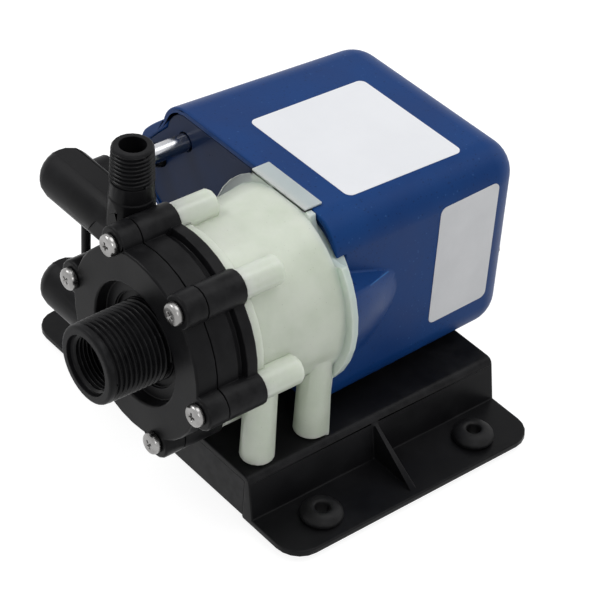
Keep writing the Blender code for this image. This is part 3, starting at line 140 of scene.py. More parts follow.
def smoothPiece(piece, angle=35):
    makeActive(piece)
    bpy.ops.object.shade_smooth_by_angle(angle=math.radians(angle))
    return piece


def outwardFaces(piece):
    makeActive(piece)
    editMode()
    selectAll()
    bpy.ops.mesh.remove_doubles(threshold=mergeGap["made"])
    bpy.ops.mesh.normals_make_consistent(inside=False)
    objectMode()
    return piece


def dress(piece, name, material, body="pump", replaced=()):
    piece.name = name
    piece.data.materials.clear()
    piece.data.materials.append(material)
    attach(piece, body)
    if replaced:
        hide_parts(*replaced)
    return piece


def copyOfNode(node):
    # a CAD node's mesh is loose triangles, so the copy is merged before it is worked on
    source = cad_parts[node]
    piece = source.copy()
    piece.data = source.data.copy()
    for key in list(piece.keys()):
        del piece[key]
    piece.parent = None
    bpy.context.scene.collection.objects.link(piece)
    piece.hide_render = False
    piece.hide_viewport = False
    makeActive(piece)
    editMode()
    selectAll()
    bpy.ops.mesh.remove_doubles(threshold=mergeGap["cad"])
    bpy.ops.mesh.dissolve_limited(angle_limit=math.radians(0.6))
    bpy.ops.mesh.customdata_custom_splitnormals_clear()
    objectMode()
    return piece


def roundEdges(piece, width, angle=30, segments=2):
    bevel = piece.modifiers.new("roundedEdges", "BEVEL")
    bevel.width = width
    bevel.segments = segments
    bevel.limit_method = "ANGLE"
    bevel.angle_limit = math.radians(angle)
    bevel.use_clamp_overlap = False
    applyModifiers(piece)
    smoothPiece(piece, 40)
    even = piece.modifiers.new("evenNormals", "WEIGHTED_NORMAL")
    even.weight = 100
    even.keep_sharp = True
    return applyModifiers(piece)


def cutAway(piece, cutter, operation="DIFFERENCE"):
    boolean = piece.modifiers.new("cut", "BOOLEAN")
    boolean.object = cutter
    boolean.operation = operation
    boolean.solver = "EXACT"
    applyModifiers(piece)
    bpy.data.objects.remove(cutter, do_unlink=True)
    return piece


# the lead comes first: its route follows the part's, and its coil lies a little nearer the motor
leadSetup = {"radius": 1.7 * mm, "length": 1.8, "columnStep": 3.46 * mm, "rowStep": 3.44 * mm,
             "turnRadius": 19.5 * mm, "rows": 4, "columns": 3, "centre": (-31.0 * mm, 106.0 * mm),
             "lowestRow": 2.62 * mm, "pointsPerTurn": 26, "shiftDegrees": 62.0,
             "knotSpacing": 5.0 * mm, "overFloor": 0.05 * mm, "outsideGap": 0.2 * mm,
             "dropFrom": 0.12, "tailSteps": 8, "tailRiseFrom": 0.3,
             "connectorStart": (1.1 * mm, 89.65 * mm, 3.4 * mm),
             "tieShift": (-6.0 * mm, -5.65 * mm, 0.0)}
leadKnots = [
    (-53.0, 2.85, 70.0), (-53.0, -8.85, 70.0), (-55.5, -13.5, 69.2), (-62.5, -18.2, 65.0),
    (-70.5, -17.5, 57.0), (-74.4, -15.2, 46.0), (-74.7, -14.6, 34.0), (-74.7, -14.5, 22.0),
    (-75.0, -13.8, 12.0), (-76.1, -9.9, 4.8), (-77.0, -3.0, 2.3), (-77.3, 5.0, 1.75),
    (-77.3, 16.0, 1.75), (-77.3, 32.0, 1.75), (-76.8, 48.0, 1.75), (-74.0, 62.0, 1.75),
    (-67.0, 73.0, 1.8), (-60.5, 81.5, 2.0), (-55.8, 91.0, 2.3), (-54.1, 99.0, 2.5)]


def smoothThrough(knots, spacing):
    # evenly eased points on a curve through the knots
    ends = [2 * knots[0] - knots[1]] + knots + [2 * knots[-1] - knots[-2]]
    samples = []
    for i in range(1, len(ends) - 2):
        a, b, c, d = ends[i - 1:i + 3]
        steps = max(2, round((c - b).length / spacing))
        for k in range(steps):
            t = k / steps
            samples.append(0.5 * (2 * b + (c - a) * t + (2 * a - 5 * b + 4 * c - d) * t ** 2
                                  + (3 * b - a - 3 * c + d) * t ** 3))
    samples.append(knots[-1])
    return samples


def eased(t):
    t = min(1.0, max(0.0, t))
    return t * t * (3 - 2 * t)


def coilPoints(setup):
    # whole turns side by side, each moving over to the next place within one short stretch
    cx, cy = setup["centre"]
    places = []
    for row in range(setup["rows"]):
        order = range(setup["columns"])
        order = order if row % 2 == 0 else reversed(order)
        for column in order:
            radius = setup["turnRadius"] + (1 - column) * setup["columnStep"]
            places.append((radius, setup["lowestRow"] + row * setup["rowStep"]))
    outside = places[-1][0] + setup["columnStep"] + setup["outsideGap"]
    points = []
    perTurn = setup["pointsPerTurn"]
    for turn, (radius, height) in enumerate(places):
        following = places[turn + 1] if turn + 1 < len(places) else (radius, height)
        for k in range(perTurn):
            degrees = 360.0 * k / perTurn
            share = eased((degrees - (360 - setup["shiftDegrees"])) / setup["shiftDegrees"])
            r = radius + (following[0] - radius) * share
            z = height + (following[1] - height) * share
            angle = math.radians(180 - degrees)
            points.append(Vector((cx + r * math.cos(angle), cy + r * math.sin(angle), z)))
    # the last half turn lies outside the others and comes down to the floor
    radius, height = places[-1]
    low = setup["radius"] + setup["overFloor"]
    for k in range(perTurn // 2 + 1):
        share = k / (perTurn // 2)
        r = radius + (outside - radius) * eased(share * 3)
        z = height + (low - height) * eased((share - setup["dropFrom"]) / (1 - setup["dropFrom"]))
        angle = math.radians(180 - 180 * share)
        points.append(Vector((cx + r * math.cos(angle), cy + r * math.sin(angle), z)))
    return points


def leadPoints(setup):
    start = smoothThrough([Vector(knot) * mm for knot in leadKnots], setup["knotSpacing"])
    low = setup["radius"] + setup["overFloor"]
    start = [Vector((p.x, p.y, max(p.z, low))) for p in start]
    turns = coilPoints(setup)
    last = turns[-1]
    endX, endY, endZ = setup["connectorStart"]
    steps, rise = setup["tailSteps"], setup["tailRiseFrom"]
    tail = [Vector((last.x + (endX - last.x) * eased(k / steps),
                    last.y + (endY - last.y) * k / steps,
                    last.z + (endZ - last.z) * eased((k / steps - rise) / (1 - rise))))
            for k in range(1, steps + 1)]
    return start + turns + tail


def makeLead(setup):
    points = leadPoints(setup)
    curve = bpy.data.curves.new("powerLead", "CURVE")
    curve.dimensions = "3D"
    spline = curve.splines.new("POLY")
    spline.points.add(len(points) - 1)
    for point, place in zip(spline.points, points):
        point.co = (*place, 1.0)
    curve.bevel_depth = setup["radius"]
    curve.bevel_resolution = 4
    curve.use_fill_caps = True
    piece = bpy.data.objects.new("powerLead", curve)
    bpy.context.scene.collection.objects.link(piece)
    total = sum((b - a).length for a, b in zip(points, points[1:]))
    print("lead length", round(total, 4))
    return piece, points[0]


lead, leadExit = makeLead(leadSetup)
print("lead laid")


# shared shading groups
def newGroup(name, result, **inputs):
    # every socket carries one value, and an underscore in its name stands for a space
    group = bpy.data.node_groups.new(name, "ShaderNodeTree")
    for label, value in inputs.items():
        socket = group.interface.new_socket(name=label.replace("_", " "), in_out="INPUT",
                                            socket_type="NodeSocketFloat")
        socket.default_value = value
    group.interface.new_socket(name=result, in_out="OUTPUT", socket_type="NodeSocketFloat")
    given = group.nodes.new("NodeGroupInput").outputs
    return group, given, group.nodes.new("NodeGroupOutput").inputs[result]


def feed(tree, socket, value):
    # a number or a colour is set on the socket, and another node's output is linked to it
    if isinstance(value, tuple):
        socket.default_value = (*value, 1.0)
    elif isinstance(value, (int, float)):
        socket.default_value = value
    else:
        tree.links.new(value, socket)


def objectPlace(tree):
    return tree.nodes.new("ShaderNodeTexCoord").outputs["Object"]


def mathNode(tree, operation, *values, clamp=False):
    node = tree.nodes.new("ShaderNodeMath")
    node.operation = operation
    node.use_clamp = clamp
    for k, value in enumerate(values):
        feed(tree, node.inputs[k], value)
    return node.outputs[0]


def noiseNode(tree, vector, scale, detail=3.0, roughness=0.5):
    node = tree.nodes.new("ShaderNodeTexNoise")
    tree.links.new(vector, node.inputs["Vector"])
    for label, value in (("Scale", scale), ("Detail", detail), ("Roughness", roughness)):
        feed(tree, node.inputs[label], value)
    return node.outputs["Fac"]


def stepBetween(tree, value, low, high):
    node = tree.nodes.new("ShaderNodeMapRange")
    node.interpolation_type = "SMOOTHSTEP"
    tree.links.new(value, node.inputs["Value"])
    feed(tree, node.inputs["From Min"], low)
    feed(tree, node.inputs["From Max"], high)
    return node.outputs["Result"]


def makeMouldGrain():
    # fine uneven skin of a moulded part, as a height
    group, given, result = newGroup("mouldGrain", "Height", Scale=900.0)
    place = objectPlace(group)
    fine = noiseNode(group, place, given["Scale"], 4.0, 0.6)
    coarse = noiseNode(group, place, mathNode(group, "MULTIPLY", given["Scale"], 0.12), 2.0)
    height = mathNode(group, "MULTIPLY_ADD", coarse, 0.6, mathNode(group, "MULTIPLY", fine, 0.4))
    group.links.new(height, result)
    return group


def makeEdgeWearAndHighlight():
    # a mask of the outer edges, broken up unevenly: rubbed wear, and on the blue housing also a
    # painted highlight along the rims
    group, given, result = newGroup("edgeWearAndHighlight", "Mask", Start=0.52, Full=0.6, Break_Scale=160.0,
                                    Amount=0.6)
    edge = group.nodes.new("ShaderNodeNewGeometry").outputs["Pointiness"]
    place = objectPlace(group)
    mask = stepBetween(group, edge, given["Start"], given["Full"])
    patches = noiseNode(group, place, given["Break Scale"], 4.0)
    broken = stepBetween(group, patches, 0.32, 0.66)
    mask = mathNode(group, "MULTIPLY", mask, broken)
    group.links.new(mathNode(group, "MULTIPLY", mask, given["Amount"], clamp=True), result)
    return group


def makeSettledDust():
    # patchy dust, thickest on faces that look up
    group, given, result = newGroup("settledDust", "Mask", Scale=45.0, Level=0.5, Amount=0.4)
    normal = group.nodes.new("ShaderNodeNewGeometry").outputs["Normal"]
    split = group.nodes.new("ShaderNodeSeparateXYZ")
    group.links.new(normal, split.inputs[0])
    up = stepBetween(group, split.outputs["Z"], -0.3, 0.9)
    place = objectPlace(group)
    patches = noiseNode(group, place, given["Scale"], 6.0, 0.62)
    high = mathNode(group, "ADD", given["Level"], 0.22)
    cloud = stepBetween(group, patches, given["Level"], high)
    ground = mathNode(group, "MULTIPLY_ADD", up, 0.75, 0.25)
    mask = mathNode(group, "MULTIPLY", cloud, ground)
    group.links.new(mathNode(group, "MULTIPLY", mask, given["Amount"], clamp=True), result)
    return group


def makeSpeckles():
    # small separate flecks, as a mask
    group, given, result = newGroup("speckles", "Mask", Scale=700.0, Size=0.2, Share=0.6)
    place = objectPlace(group)
    cells = group.nodes.new("ShaderNodeTexVoronoi")
    group.links.new(place, cells.inputs["Vector"])
    group.links.new(given["Scale"], cells.inputs["Scale"])
    split = group.nodes.new("ShaderNodeSeparateColor")
    group.links.new(cells.outputs["Color"], split.inputs[0])
    kept = mathNode(group, "LESS_THAN", split.outputs[0], given["Share"])
    size = mathNode(group, "MULTIPLY", given["Size"],
                    mathNode(group, "MULTIPLY_ADD", split.outputs[1], 0.9, 0.35))
    dot = mathNode(group, "LESS_THAN", cells.outputs["Distance"], size)
    group.links.new(mathNode(group, "MULTIPLY", dot, kept), result)
    return group


def makeMottle():
    # slow uneven shade over a surface
    group, given, result = newGroup("mottle", "Mask", Scale=25.0, Low=0.3, High=0.7)
    place = objectPlace(group)
    cloud = noiseNode(group, place, given["Scale"], 5.0, 0.55)
    group.links.new(stepBetween(group, cloud, given["Low"], given["High"]), result)
    return group


mouldGrain = makeMouldGrain()
edgeWearAndHighlight = makeEdgeWearAndHighlight()
settledDust = makeSettledDust()
speckles = makeSpeckles()
mottle = makeMottle()


def newMaterial(name, **values):
    material = bpy.data.materials.new(name)
    material.use_nodes = True
    shader = material.node_tree.nodes["Principled BSDF"]
    for label, value in values.items():
        shader.inputs[label.replace("_", " ")].default_value = value
    return material, material.node_tree, shader


def placeGroup(tree, group, **values):
    node = tree.nodes.new("ShaderNodeGroup")
    node.node_tree = group
    for label, value in values.items():
        node.inputs[label.replace("_", " ")].default_value = value
    return node.outputs[0]


def blendColours(tree, mask, low, high):
    node = tree.nodes.new("ShaderNodeMix")
    node.data_type = "RGBA"
    tree.links.new(mask, node.inputs[0])
    feed(tree, node.inputs[6], low)
    feed(tree, node.inputs[7], high)
    return node.outputs[2]


def blendValues(tree, mask, low, high):
    node = tree.nodes.new("ShaderNodeMapRange")
    tree.links.new(mask, node.inputs["Value"])
    node.inputs["To Min"].default_value = low
    node.inputs["To Max"].default_value = high
    return node.outputs["Result"]


def bumpFrom(tree, shader, grain, strength, distance):
    # the grain is the mould skin's scale
    node = tree.nodes.new("ShaderNodeBump")
    node.inputs["Strength"].default_value = strength
    node.inputs["Distance"].default_value = distance
    tree.links.new(placeGroup(tree, mouldGrain, Scale=grain), node.inputs["Height"])
    tree.links.new(node.outputs[0], shader.inputs["Normal"])


blackSetup = {"colour": (0.0048, 0.0048, 0.0054), "shade": (0.0085, 0.0085, 0.0095),
              "worn": (0.045, 0.045, 0.047), "dust": (0.05, 0.05, 0.052), "rough": (0.34, 0.46),
              "dustRough": 0.35, "bump": (1500.0, 0.2, 0.2 * mm), "specular": 0.085}


def makeBlackMoulded(name, setup, dust=0.14, wear=0.3):
    material, tree, shader = newMaterial(name, Specular_IOR_Level=setup["specular"])
    cloud = placeGroup(tree, mottle, Scale=38.0, Low=0.34, High=0.7)
    colour = blendColours(tree, cloud, setup["colour"], setup["shade"])
    edges = placeGroup(tree, edgeWearAndHighlight, Start=0.515, Full=0.6, Break_Scale=210.0, Amount=wear)
    colour = blendColours(tree, edges, colour, setup["worn"])
    powder = placeGroup(tree, settledDust, Scale=70.0, Level=0.5, Amount=dust)
    colour = blendColours(tree, powder, colour, setup["dust"])
    tree.links.new(colour, shader.inputs["Base Color"])
    rough = blendValues(tree, cloud, *setup["rough"])
    rough = mathNode(tree, "MULTIPLY_ADD", powder, setup["dustRough"], rough, clamp=True)
    tree.links.new(rough, shader.inputs["Roughness"])
    bumpFrom(tree, shader, *setup["bump"])
    return material


threadSetup = dict(blackSetup, rough=(0.14, 0.24), bump=(1500.0, 0.1, 0.2 * mm),
                   colour=(0.004, 0.004, 0.0045))
baseSetup = dict(blackSetup, rough=(0.3, 0.42), bump=(1500.0, 0.14, 0.2 * mm))
blackMoulded = makeBlackMoulded("blackMoulded", blackSetup)
blackThread = makeBlackMoulded("blackThread", threadSetup, dust=0.05, wear=0.2)
blackBase = makeBlackMoulded("blackBase", baseSetup, dust=0.12, wear=0.35)

# the edge colour is partly rubbed wear and partly a painted highlight along the housing's rims
blueSetup = {"colour": (0.003, 0.034, 0.15), "shade": (0.005, 0.046, 0.185),
             "fleck": (0.002, 0.014, 0.06), "fleckShare": 0.5, "pale": (0.04, 0.12, 0.3),
             "paleShare": 0.35, "edge": (0.03, 0.19, 0.5), "specular": 0.12, "rough": (0.36, 0.5),
             "bump": (1100.0, 0.3, 0.25 * mm)}


def makeBlueHousing(setup):
    material, tree, shader = newMaterial("blueHousing", Specular_IOR_Level=setup["specular"])
    cloud = placeGroup(tree, mottle, Scale=26.0, Low=0.3, High=0.72)
    colour = blendColours(tree, cloud, setup["colour"], setup["shade"])
    dark = placeGroup(tree, speckles, Scale=900.0, Size=0.26, Share=0.42)
    dark = mathNode(tree, "MULTIPLY", dark, setup["fleckShare"])
    colour = blendColours(tree, dark, colour, setup["fleck"])
    light = placeGroup(tree, speckles, Scale=620.0, Size=0.2, Share=0.22)
    light = mathNode(tree, "MULTIPLY", light, setup["paleShare"])
    colour = blendColours(tree, light, colour, setup["pale"])
    # the pale edge colour is partly rubbed wear and partly a painted highlight along the housing's
    # rims
    edges = placeGroup(tree, edgeWearAndHighlight, Start=0.53, Full=0.66, Break_Scale=120.0, Amount=0.8)
    colour = blendColours(tree, edges, colour, setup["edge"])
    tree.links.new(colour, shader.inputs["Base Color"])
    tree.links.new(blendValues(tree, cloud, *setup["rough"]), shader.inputs["Roughness"])
    bumpFrom(tree, shader, *setup["bump"])
    return material


blueHousing = makeBlueHousing(blueSetup)


def finishMottled(tree, shader, cloud, colours, rough):
    tree.links.new(blendColours(tree, cloud, *colours), shader.inputs["Base Color"])
    tree.links.new(blendValues(tree, cloud, *rough), shader.inputs["Roughness"])


pottingSetup = {"colours": ((0.004, 0.014, 0.052), (0.006, 0.022, 0.078)), "rough": (0.26, 0.38),
                "specular": 0.08, "bump": (90.0, 0.25, 0.4 * mm)}


def makeBluePotting(setup):
    material, tree, shader = newMaterial("bluePotting", Specular_IOR_Level=setup["specular"])
    cloud = placeGroup(tree, mottle, Scale=30.0)
    finishMottled(tree, shader, cloud, setup["colours"], setup["rough"])
    bumpFrom(tree, shader, *setup["bump"])
    return material


# the pale blue near the housing is painted show-through of the blue housing behind, not the
# polymer's own colour
polymerSetup = {"colours": ((0.60, 0.66, 0.55), (0.70, 0.75, 0.65)), "fleck": (0.3, 0.32, 0.26),
                "fleckShare": 0.35, "edge": (0.86, 0.9, 0.88), "behind": (0.42, 0.55, 0.56),
                "behindShare": 0.7, "behindFrom": -0.0065, "behindFull": -0.0005,
                "rough": (0.28, 0.44), "bump": (700.0, 0.18, 0.25 * mm)}


def makeNaturalPolymer(setup):
    # frosted, slightly green, and it lets light through
    material, tree, shader = newMaterial("naturalPolymer", Subsurface_Weight=0.75,
                                         Subsurface_Scale=0.006, Subsurface_Radius=(0.9, 1.0, 0.85),
                                         Coat_Weight=0.25, Coat_Roughness=0.18)
    cloud = placeGroup(tree, mottle, Scale=55.0)
    colour = blendColours(tree, cloud, *setup["colours"])
    dots = placeGroup(tree, speckles, Scale=1100.0, Size=0.16, Share=0.14)
    dots = mathNode(tree, "MULTIPLY", dots, setup["fleckShare"])
    colour = blendColours(tree, dots, colour, setup["fleck"])
    edges = placeGroup(tree, edgeWearAndHighlight, Start=0.53, Full=0.63, Break_Scale=90.0, Amount=0.55)
    colour = blendColours(tree, edges, colour, setup["edge"])
    # painted show-through: near the housing, the blue seen through the frosted flange is painted
    # into its colour
    split = tree.nodes.new("ShaderNodeSeparateXYZ")
    tree.links.new(objectPlace(tree), split.inputs[0])
    near = stepBetween(tree, split.outputs["Y"], setup["behindFrom"], setup["behindFull"])
    near = mathNode(tree, "MULTIPLY", near, setup["behindShare"])
    tree.links.new(blendColours(tree, near, colour, setup["behind"]), shader.inputs["Base Color"])
    tree.links.new(blendValues(tree, cloud, *setup["rough"]), shader.inputs["Roughness"])
    bumpFrom(tree, shader, *setup["bump"])
    return material


def makeMetal(name, light, dark, low, high, grain=1600.0, strength=0.06):
    material, tree, shader = newMaterial(name, Metallic=1.0)
    cloud = placeGroup(tree, mottle, Scale=160.0)
    finishMottled(tree, shader, cloud, (light, dark), (low, high))
    bumpFrom(tree, shader, grain, strength, 0.1 * mm)
    return material


rubberSetup = {"colours": ((0.005, 0.005, 0.0055), (0.009, 0.009, 0.0095)), "specular": 0.15,
               "dust": (0.05, 0.05, 0.05), "rough": (0.4, 0.58),
               "bump": (1300.0, 0.3, 0.2 * mm)}


def makeRubber(setup):
    material, tree, shader = newMaterial("blackRubber", Specular_IOR_Level=setup["specular"])
    cloud = placeGroup(tree, mottle, Scale=90.0)
    colour = blendColours(tree, cloud, *setup["colours"])
    powder = placeGroup(tree, settledDust, Scale=150.0, Level=0.5, Amount=0.15)
    tree.links.new(blendColours(tree, powder, colour, setup["dust"]), shader.inputs["Base Color"])
    tree.links.new(blendValues(tree, cloud, *setup["rough"]), shader.inputs["Roughness"])
    bumpFrom(tree, shader, *setup["bump"])
    return material


def makePlain(name, light, dark, low, high, scale=60.0, grain=900.0):
    # matt or glazed pieces, such as ceramic, nylon, ferrite and label stock
    material, tree, shader = newMaterial(name, Specular_IOR_Level=0.5)
    cloud = placeGroup(tree, mottle, Scale=scale)
    finishMottled(tree, shader, cloud, (light, dark), (low, high))
    bumpFrom(tree, shader, grain, 0.2, 0.2 * mm)
    return material


bluePotting = makeBluePotting(pottingSetup)
naturalPolymer = makeNaturalPolymer(polymerSetup)
brightSteel = makeMetal("brightSteel", (0.36, 0.355, 0.35), (0.26, 0.255, 0.25), 0.22, 0.34)
tubeSteel = makeMetal("tubeSteel", (0.62, 0.63, 0.65), (0.5, 0.5, 0.52), 0.14, 0.26)
laminationSteel = makeMetal("laminationSteel", (0.4, 0.4, 0.42), (0.3, 0.3, 0.32), 0.35, 0.5,
                            500.0, 0.3)
copperWire = makeMetal("copperWire", (0.62, 0.25, 0.12), (0.5, 0.19, 0.09), 0.24, 0.38,
                       2500.0, 0.4)
sinteredBronze = makeMetal("sinteredBronze", (0.52, 0.36, 0.16), (0.42, 0.28, 0.12), 0.4, 0.55,
                           2600.0, 0.4)
zincCasting = makeMetal("zincCasting", (0.42, 0.43, 0.45), (0.34, 0.35, 0.37), 0.4, 0.55,
                        1100.0, 0.35)
blackRubber = makeRubber(rubberSetup)
magnetFerrite = makePlain("magnetFerrite", (0.03, 0.03, 0.032), (0.045, 0.045, 0.047), 0.5, 0.66)
whiteCeramic = makePlain("whiteCeramic", (0.78, 0.77, 0.74), (0.7, 0.69, 0.66), 0.16, 0.3)
bobbinNylon = makePlain("bobbinNylon", (0.64, 0.62, 0.55), (0.56, 0.54, 0.48), 0.36, 0.5)
labelStock = makePlain("labelStock", (0.87, 0.885, 0.92), (0.84, 0.855, 0.89), 0.3, 0.42,
                       40.0, 300.0)
silverStock = makePlain("silverStock", (0.71, 0.72, 0.74), (0.66, 0.67, 0.69), 0.3, 0.42,
                        60.0, 600.0)
print("materials made")


# the lead's connector, tie and strain relief
leadTie = roundEdges(copyOfNode("lead_tie"), 0.15 * mm)
leadTie.location = leadSetup["tieShift"]
leadTie = dress(settlePlace(leadTie), "leadTie", blackRubber, replaced=["lead_tie"])
leadPlug = dress(roundEdges(copyOfNode("lead_connector"), 0.25 * mm), "leadPlug", blackThread,
                 replaced=["lead_connector"])
dress(lead, "powerLead", blackRubber, replaced=["power_lead", "power_lead_coil", "power_lead_tail"])
leadRelief = roundEdges(copyOfNode("lead_strain_relief"), 0.2 * mm)
dress(leadRelief, "leadRelief", blackRubber, replaced=["lead_strain_relief"])
print("lead dressed")


# base
baseEdges = {"rounding": 0.55 * mm, "angle": 32, "footFrom": 49 * mm, "footTo": 50.2 * mm,
             "footHeight": 6 * mm, "footSpread": 1.034, "flangeTop": 4.5 * mm,
             "domeFrom": 0.5 * mm, "domeLower": 0.78, "domeRounding": 0.5 * mm, "domeAngle": 28}
corners = ("front_left", "front_right", "rear_left", "rear_right")
base = copyOfNode("base_plate")
for vertex in base.data.vertices:
    atFoot = baseEdges["footFrom"] < abs(vertex.co.x) < baseEdges["footTo"]
    if atFoot and vertex.co.z < baseEdges["footHeight"]:
        vertex.co.x *= baseEdges["footSpread"]
base = roundEdges(base, baseEdges["rounding"], baseEdges["angle"], 3)
dress(base, "moulding_base", blackBase, replaced=["base_plate"])
for corner in corners:
    grommet = copyOfNode("grommet_" + corner)
    for vertex in grommet.data.vertices:
        above = vertex.co.z - baseEdges["flangeTop"]
        if vertex.co.z > baseEdges["flangeTop"] + baseEdges["domeFrom"]:
            vertex.co.z = baseEdges["flangeTop"] + above * baseEdges["domeLower"]
    grommet = roundEdges(grommet, baseEdges["domeRounding"], baseEdges["domeAngle"], 3)
    dress(grommet, "grommetDome_" + corner, blackRubber, replaced=["grommet_" + corner])
print("base done")


# housing: a tapered cup with a shoulder for the lead and a bulge beside the bracket's flange
cupSetup = {"left": -51.1 * mm, "right": 38.4 * mm, "low": 20.3 * mm, "high": 95.3 * mm,
            "front": -1.05 * mm, "length": 82.6 * mm, "draft": 2.4 * mm, "corner": 12.0 * mm,
            "wall": 2.5 * mm, "rounding": 0.7 * mm, "seat": 29.8 * mm, "seatDepth": 4.0 * mm}
shoulderSetup = {"x": -53.0 * mm, "z": 70.0 * mm, "reach": 9.7 * mm, "crest": 4.3 * mm,
                 "height": 33.0 * mm, "length": 42.0 * mm, "root": 21.3 * mm, "corner": 6.0 * mm,
                 "topGap": 0.8 * mm, "rimTop": 12 * mm, "slopeIn": 5 * mm, "slopeUp": 5.5 * mm,
                 "sideShare": 0.4, "rimLow": 8 * mm, "farTop": 17 * mm, "farCrest": 12 * mm,
                 "farLow": 13 * mm, "farDrop": 4 * mm}
bulgeSetup = {"radius": 34.3 * mm, "from": -52.0, "to": 22.0, "steps": 30, "rings": 9,
              "tip": (37.3 * mm, 17.5 * mm, 60.6 * mm), "tipReach": 10.2 * mm, "tipFrom": -80.0,
              "tipTo": 80.0, "swell": 1.6 * mm,
              "inside": ((30.0, -1.05, 80.0), (30.0, -1.05, 36.0), (30.0, 22.0, 64.0),
                         (30.0, 22.0, 52.0))}
fillSetup = {"gap": 0.05 * mm, "recess": 0.35 * mm, "depth": 8.1 * mm, "hole": 23.0 * mm,
             "tubes": ((-39.0 * mm, 83.3 * mm), (-39.0 * mm, 39.7 * mm)), "tubeHole": 3.475 * mm,
             "leadHole": 4.2 * mm, "wide": 150 * mm, "seatFrom": -6 * mm, "holeFrom": -8 * mm,
             "holeTo": 16 * mm, "rounding": 0.3 * mm}


def cupBlock(inset, front, backInset):
    block = added(bpy.ops.mesh.primitive_cube_add, size=2.0)
    back = cupSetup["front"] + cupSetup["length"] - backInset
    taper = cupSetup["draft"] * (back - front) / cupSetup["length"]
    for vertex in block.data.vertices:
        x, y, z = vertex.co
        drawn = inset + (taper if y > 0 else 0.0)
        vertex.co = (cupSetup["right"] - drawn if x > 0 else cupSetup["left"] + drawn,
                     back if y > 0 else front,
                     cupSetup["high"] - drawn if z > 0 else cupSetup["low"] + inset)
    editMesh(block)
    selectParts(block, "edges",
                lambda edge: any(end.y > front + mm for end in edgeEnds(block, edge)))
    bpy.ops.mesh.bevel(offset=cupSetup["corner"] - inset, segments=10)
    bpy.ops.mesh.select_mode(type="VERT")
    objectMode()
    return block


def hullAround(points):
    piece = added(bpy.ops.mesh.primitive_circle_add, vertices=len(points), radius=1.0)
    for vertex, point in zip(piece.data.vertices, points):
        vertex.co = point
    editMesh(piece)
    selectAll()
    bpy.ops.mesh.convex_hull()
    objectMode()
    return piece


def softCorners(corners, radius, steps=5):
    # the middle corners of a line are rounded
    outline = [corners[0]]
    for before, here, after in zip(corners, corners[1:], corners[2:]):
        before, here, after = Vector(before), Vector(here), Vector(after)
        back = min(radius, (before - here).length * 0.45, (after - here).length * 0.45)
        first = here + (before - here).normalized() * back
        last = here + (after - here).normalized() * back
        for k in range(steps + 1):
            share = k / steps
            left = 1 - share
            outline.append(left ** 2 * first + 2 * share * left * here + share ** 2 * last)
    return outline + [corners[-1]]


def shoulder(inset, front):
    setup = shoulderSetup
    x, corner = setup["x"], setup["corner"]
    tip = x - setup["reach"] + inset
    crest = setup["z"] + setup["crest"] - inset
    low = crest - setup["height"] + 3 * inset
    top = cupSetup["high"] - setup["topGap"] - inset
    end = cupSetup["front"] + setup["length"] - 3 * inset
    farTop, farLow = top - setup["farDrop"], low + setup["farDrop"]
    rim = [(x + setup["rimTop"], top), (tip + setup["slopeIn"], crest + setup["slopeUp"]),
           (tip, crest), (tip, crest - setup["height"] * setup["sideShare"]),
           (x + setup["rimLow"] + inset, low)]
    far = [(x + setup["farTop"], farTop), (x + setup["farCrest"], crest),
           (x + setup["farLow"], farLow)]
    root = x + setup["root"]
    points = [(px, front, pz) for px, pz in softCorners(rim, corner)]
    points += [(px, end, pz) for px, pz in softCorners(far, corner)]
    points += [(root, front, top), (root, front, low), (root, end, farTop), (root, end, farLow)]
    return hullAround(points)


def bulge():
    # rings of points from the mouth's round edge to a low round tip, swelling a little between
    setup = bulgeSetup
    tipX, tipY, tipZ = setup["tip"]
    points = [Vector(point) * mm for point in setup["inside"]]
    for k in range(setup["steps"] + 1):
        share = k / setup["steps"]
        angle = math.radians(setup["from"] + (setup["to"] - setup["from"]) * share)
        turn = math.radians(setup["tipFrom"] + (setup["tipTo"] - setup["tipFrom"]) * share)
        mouth = Vector((pumpAxis.x + setup["radius"] * math.cos(angle), cupSetup["front"],
                        pumpAxis.z + setup["radius"] * math.sin(angle)))
        tip = Vector((tipX, tipY + setup["tipReach"] * math.cos(turn),
                      tipZ + setup["tipReach"] * math.sin(turn)))
        for ring in range(setup["rings"] + 1):
            along = ring / setup["rings"]
            out = Vector((setup["swell"] * math.sin(math.pi * along), 0, 0))
            points.append(mouth.lerp(tip, along) + out)
    return hullAround(points)


def drumAlongY(radius, start, end, x, z, sides=96):
    return settlePlace(added(
        bpy.ops.mesh.primitive_cylinder_add, vertices=sides, radius=radius, depth=end - start,
        location=(x, (start + end) / 2, z), rotation=(math.pi / 2, 0, 0)))


def makeHousing():
    front, wall = cupSetup["front"], cupSetup["wall"]
    cup = cupBlock(0.0, front, 0.0)
    cutAway(cup, shoulder(0.0, front), "UNION")
    cutAway(cup, bulge(), "UNION")
    cavity = cupBlock(wall, front - mm, wall)
    cutAway(cavity, shoulder(wall, front - mm), "UNION")
    cutAway(cup, cavity)
    cutAway(cup, drumAlongY(cupSetup["seat"], front - mm, front + cupSetup["seatDepth"],
                            pumpAxis.x, pumpAxis.z))
    return outwardFaces(cup)


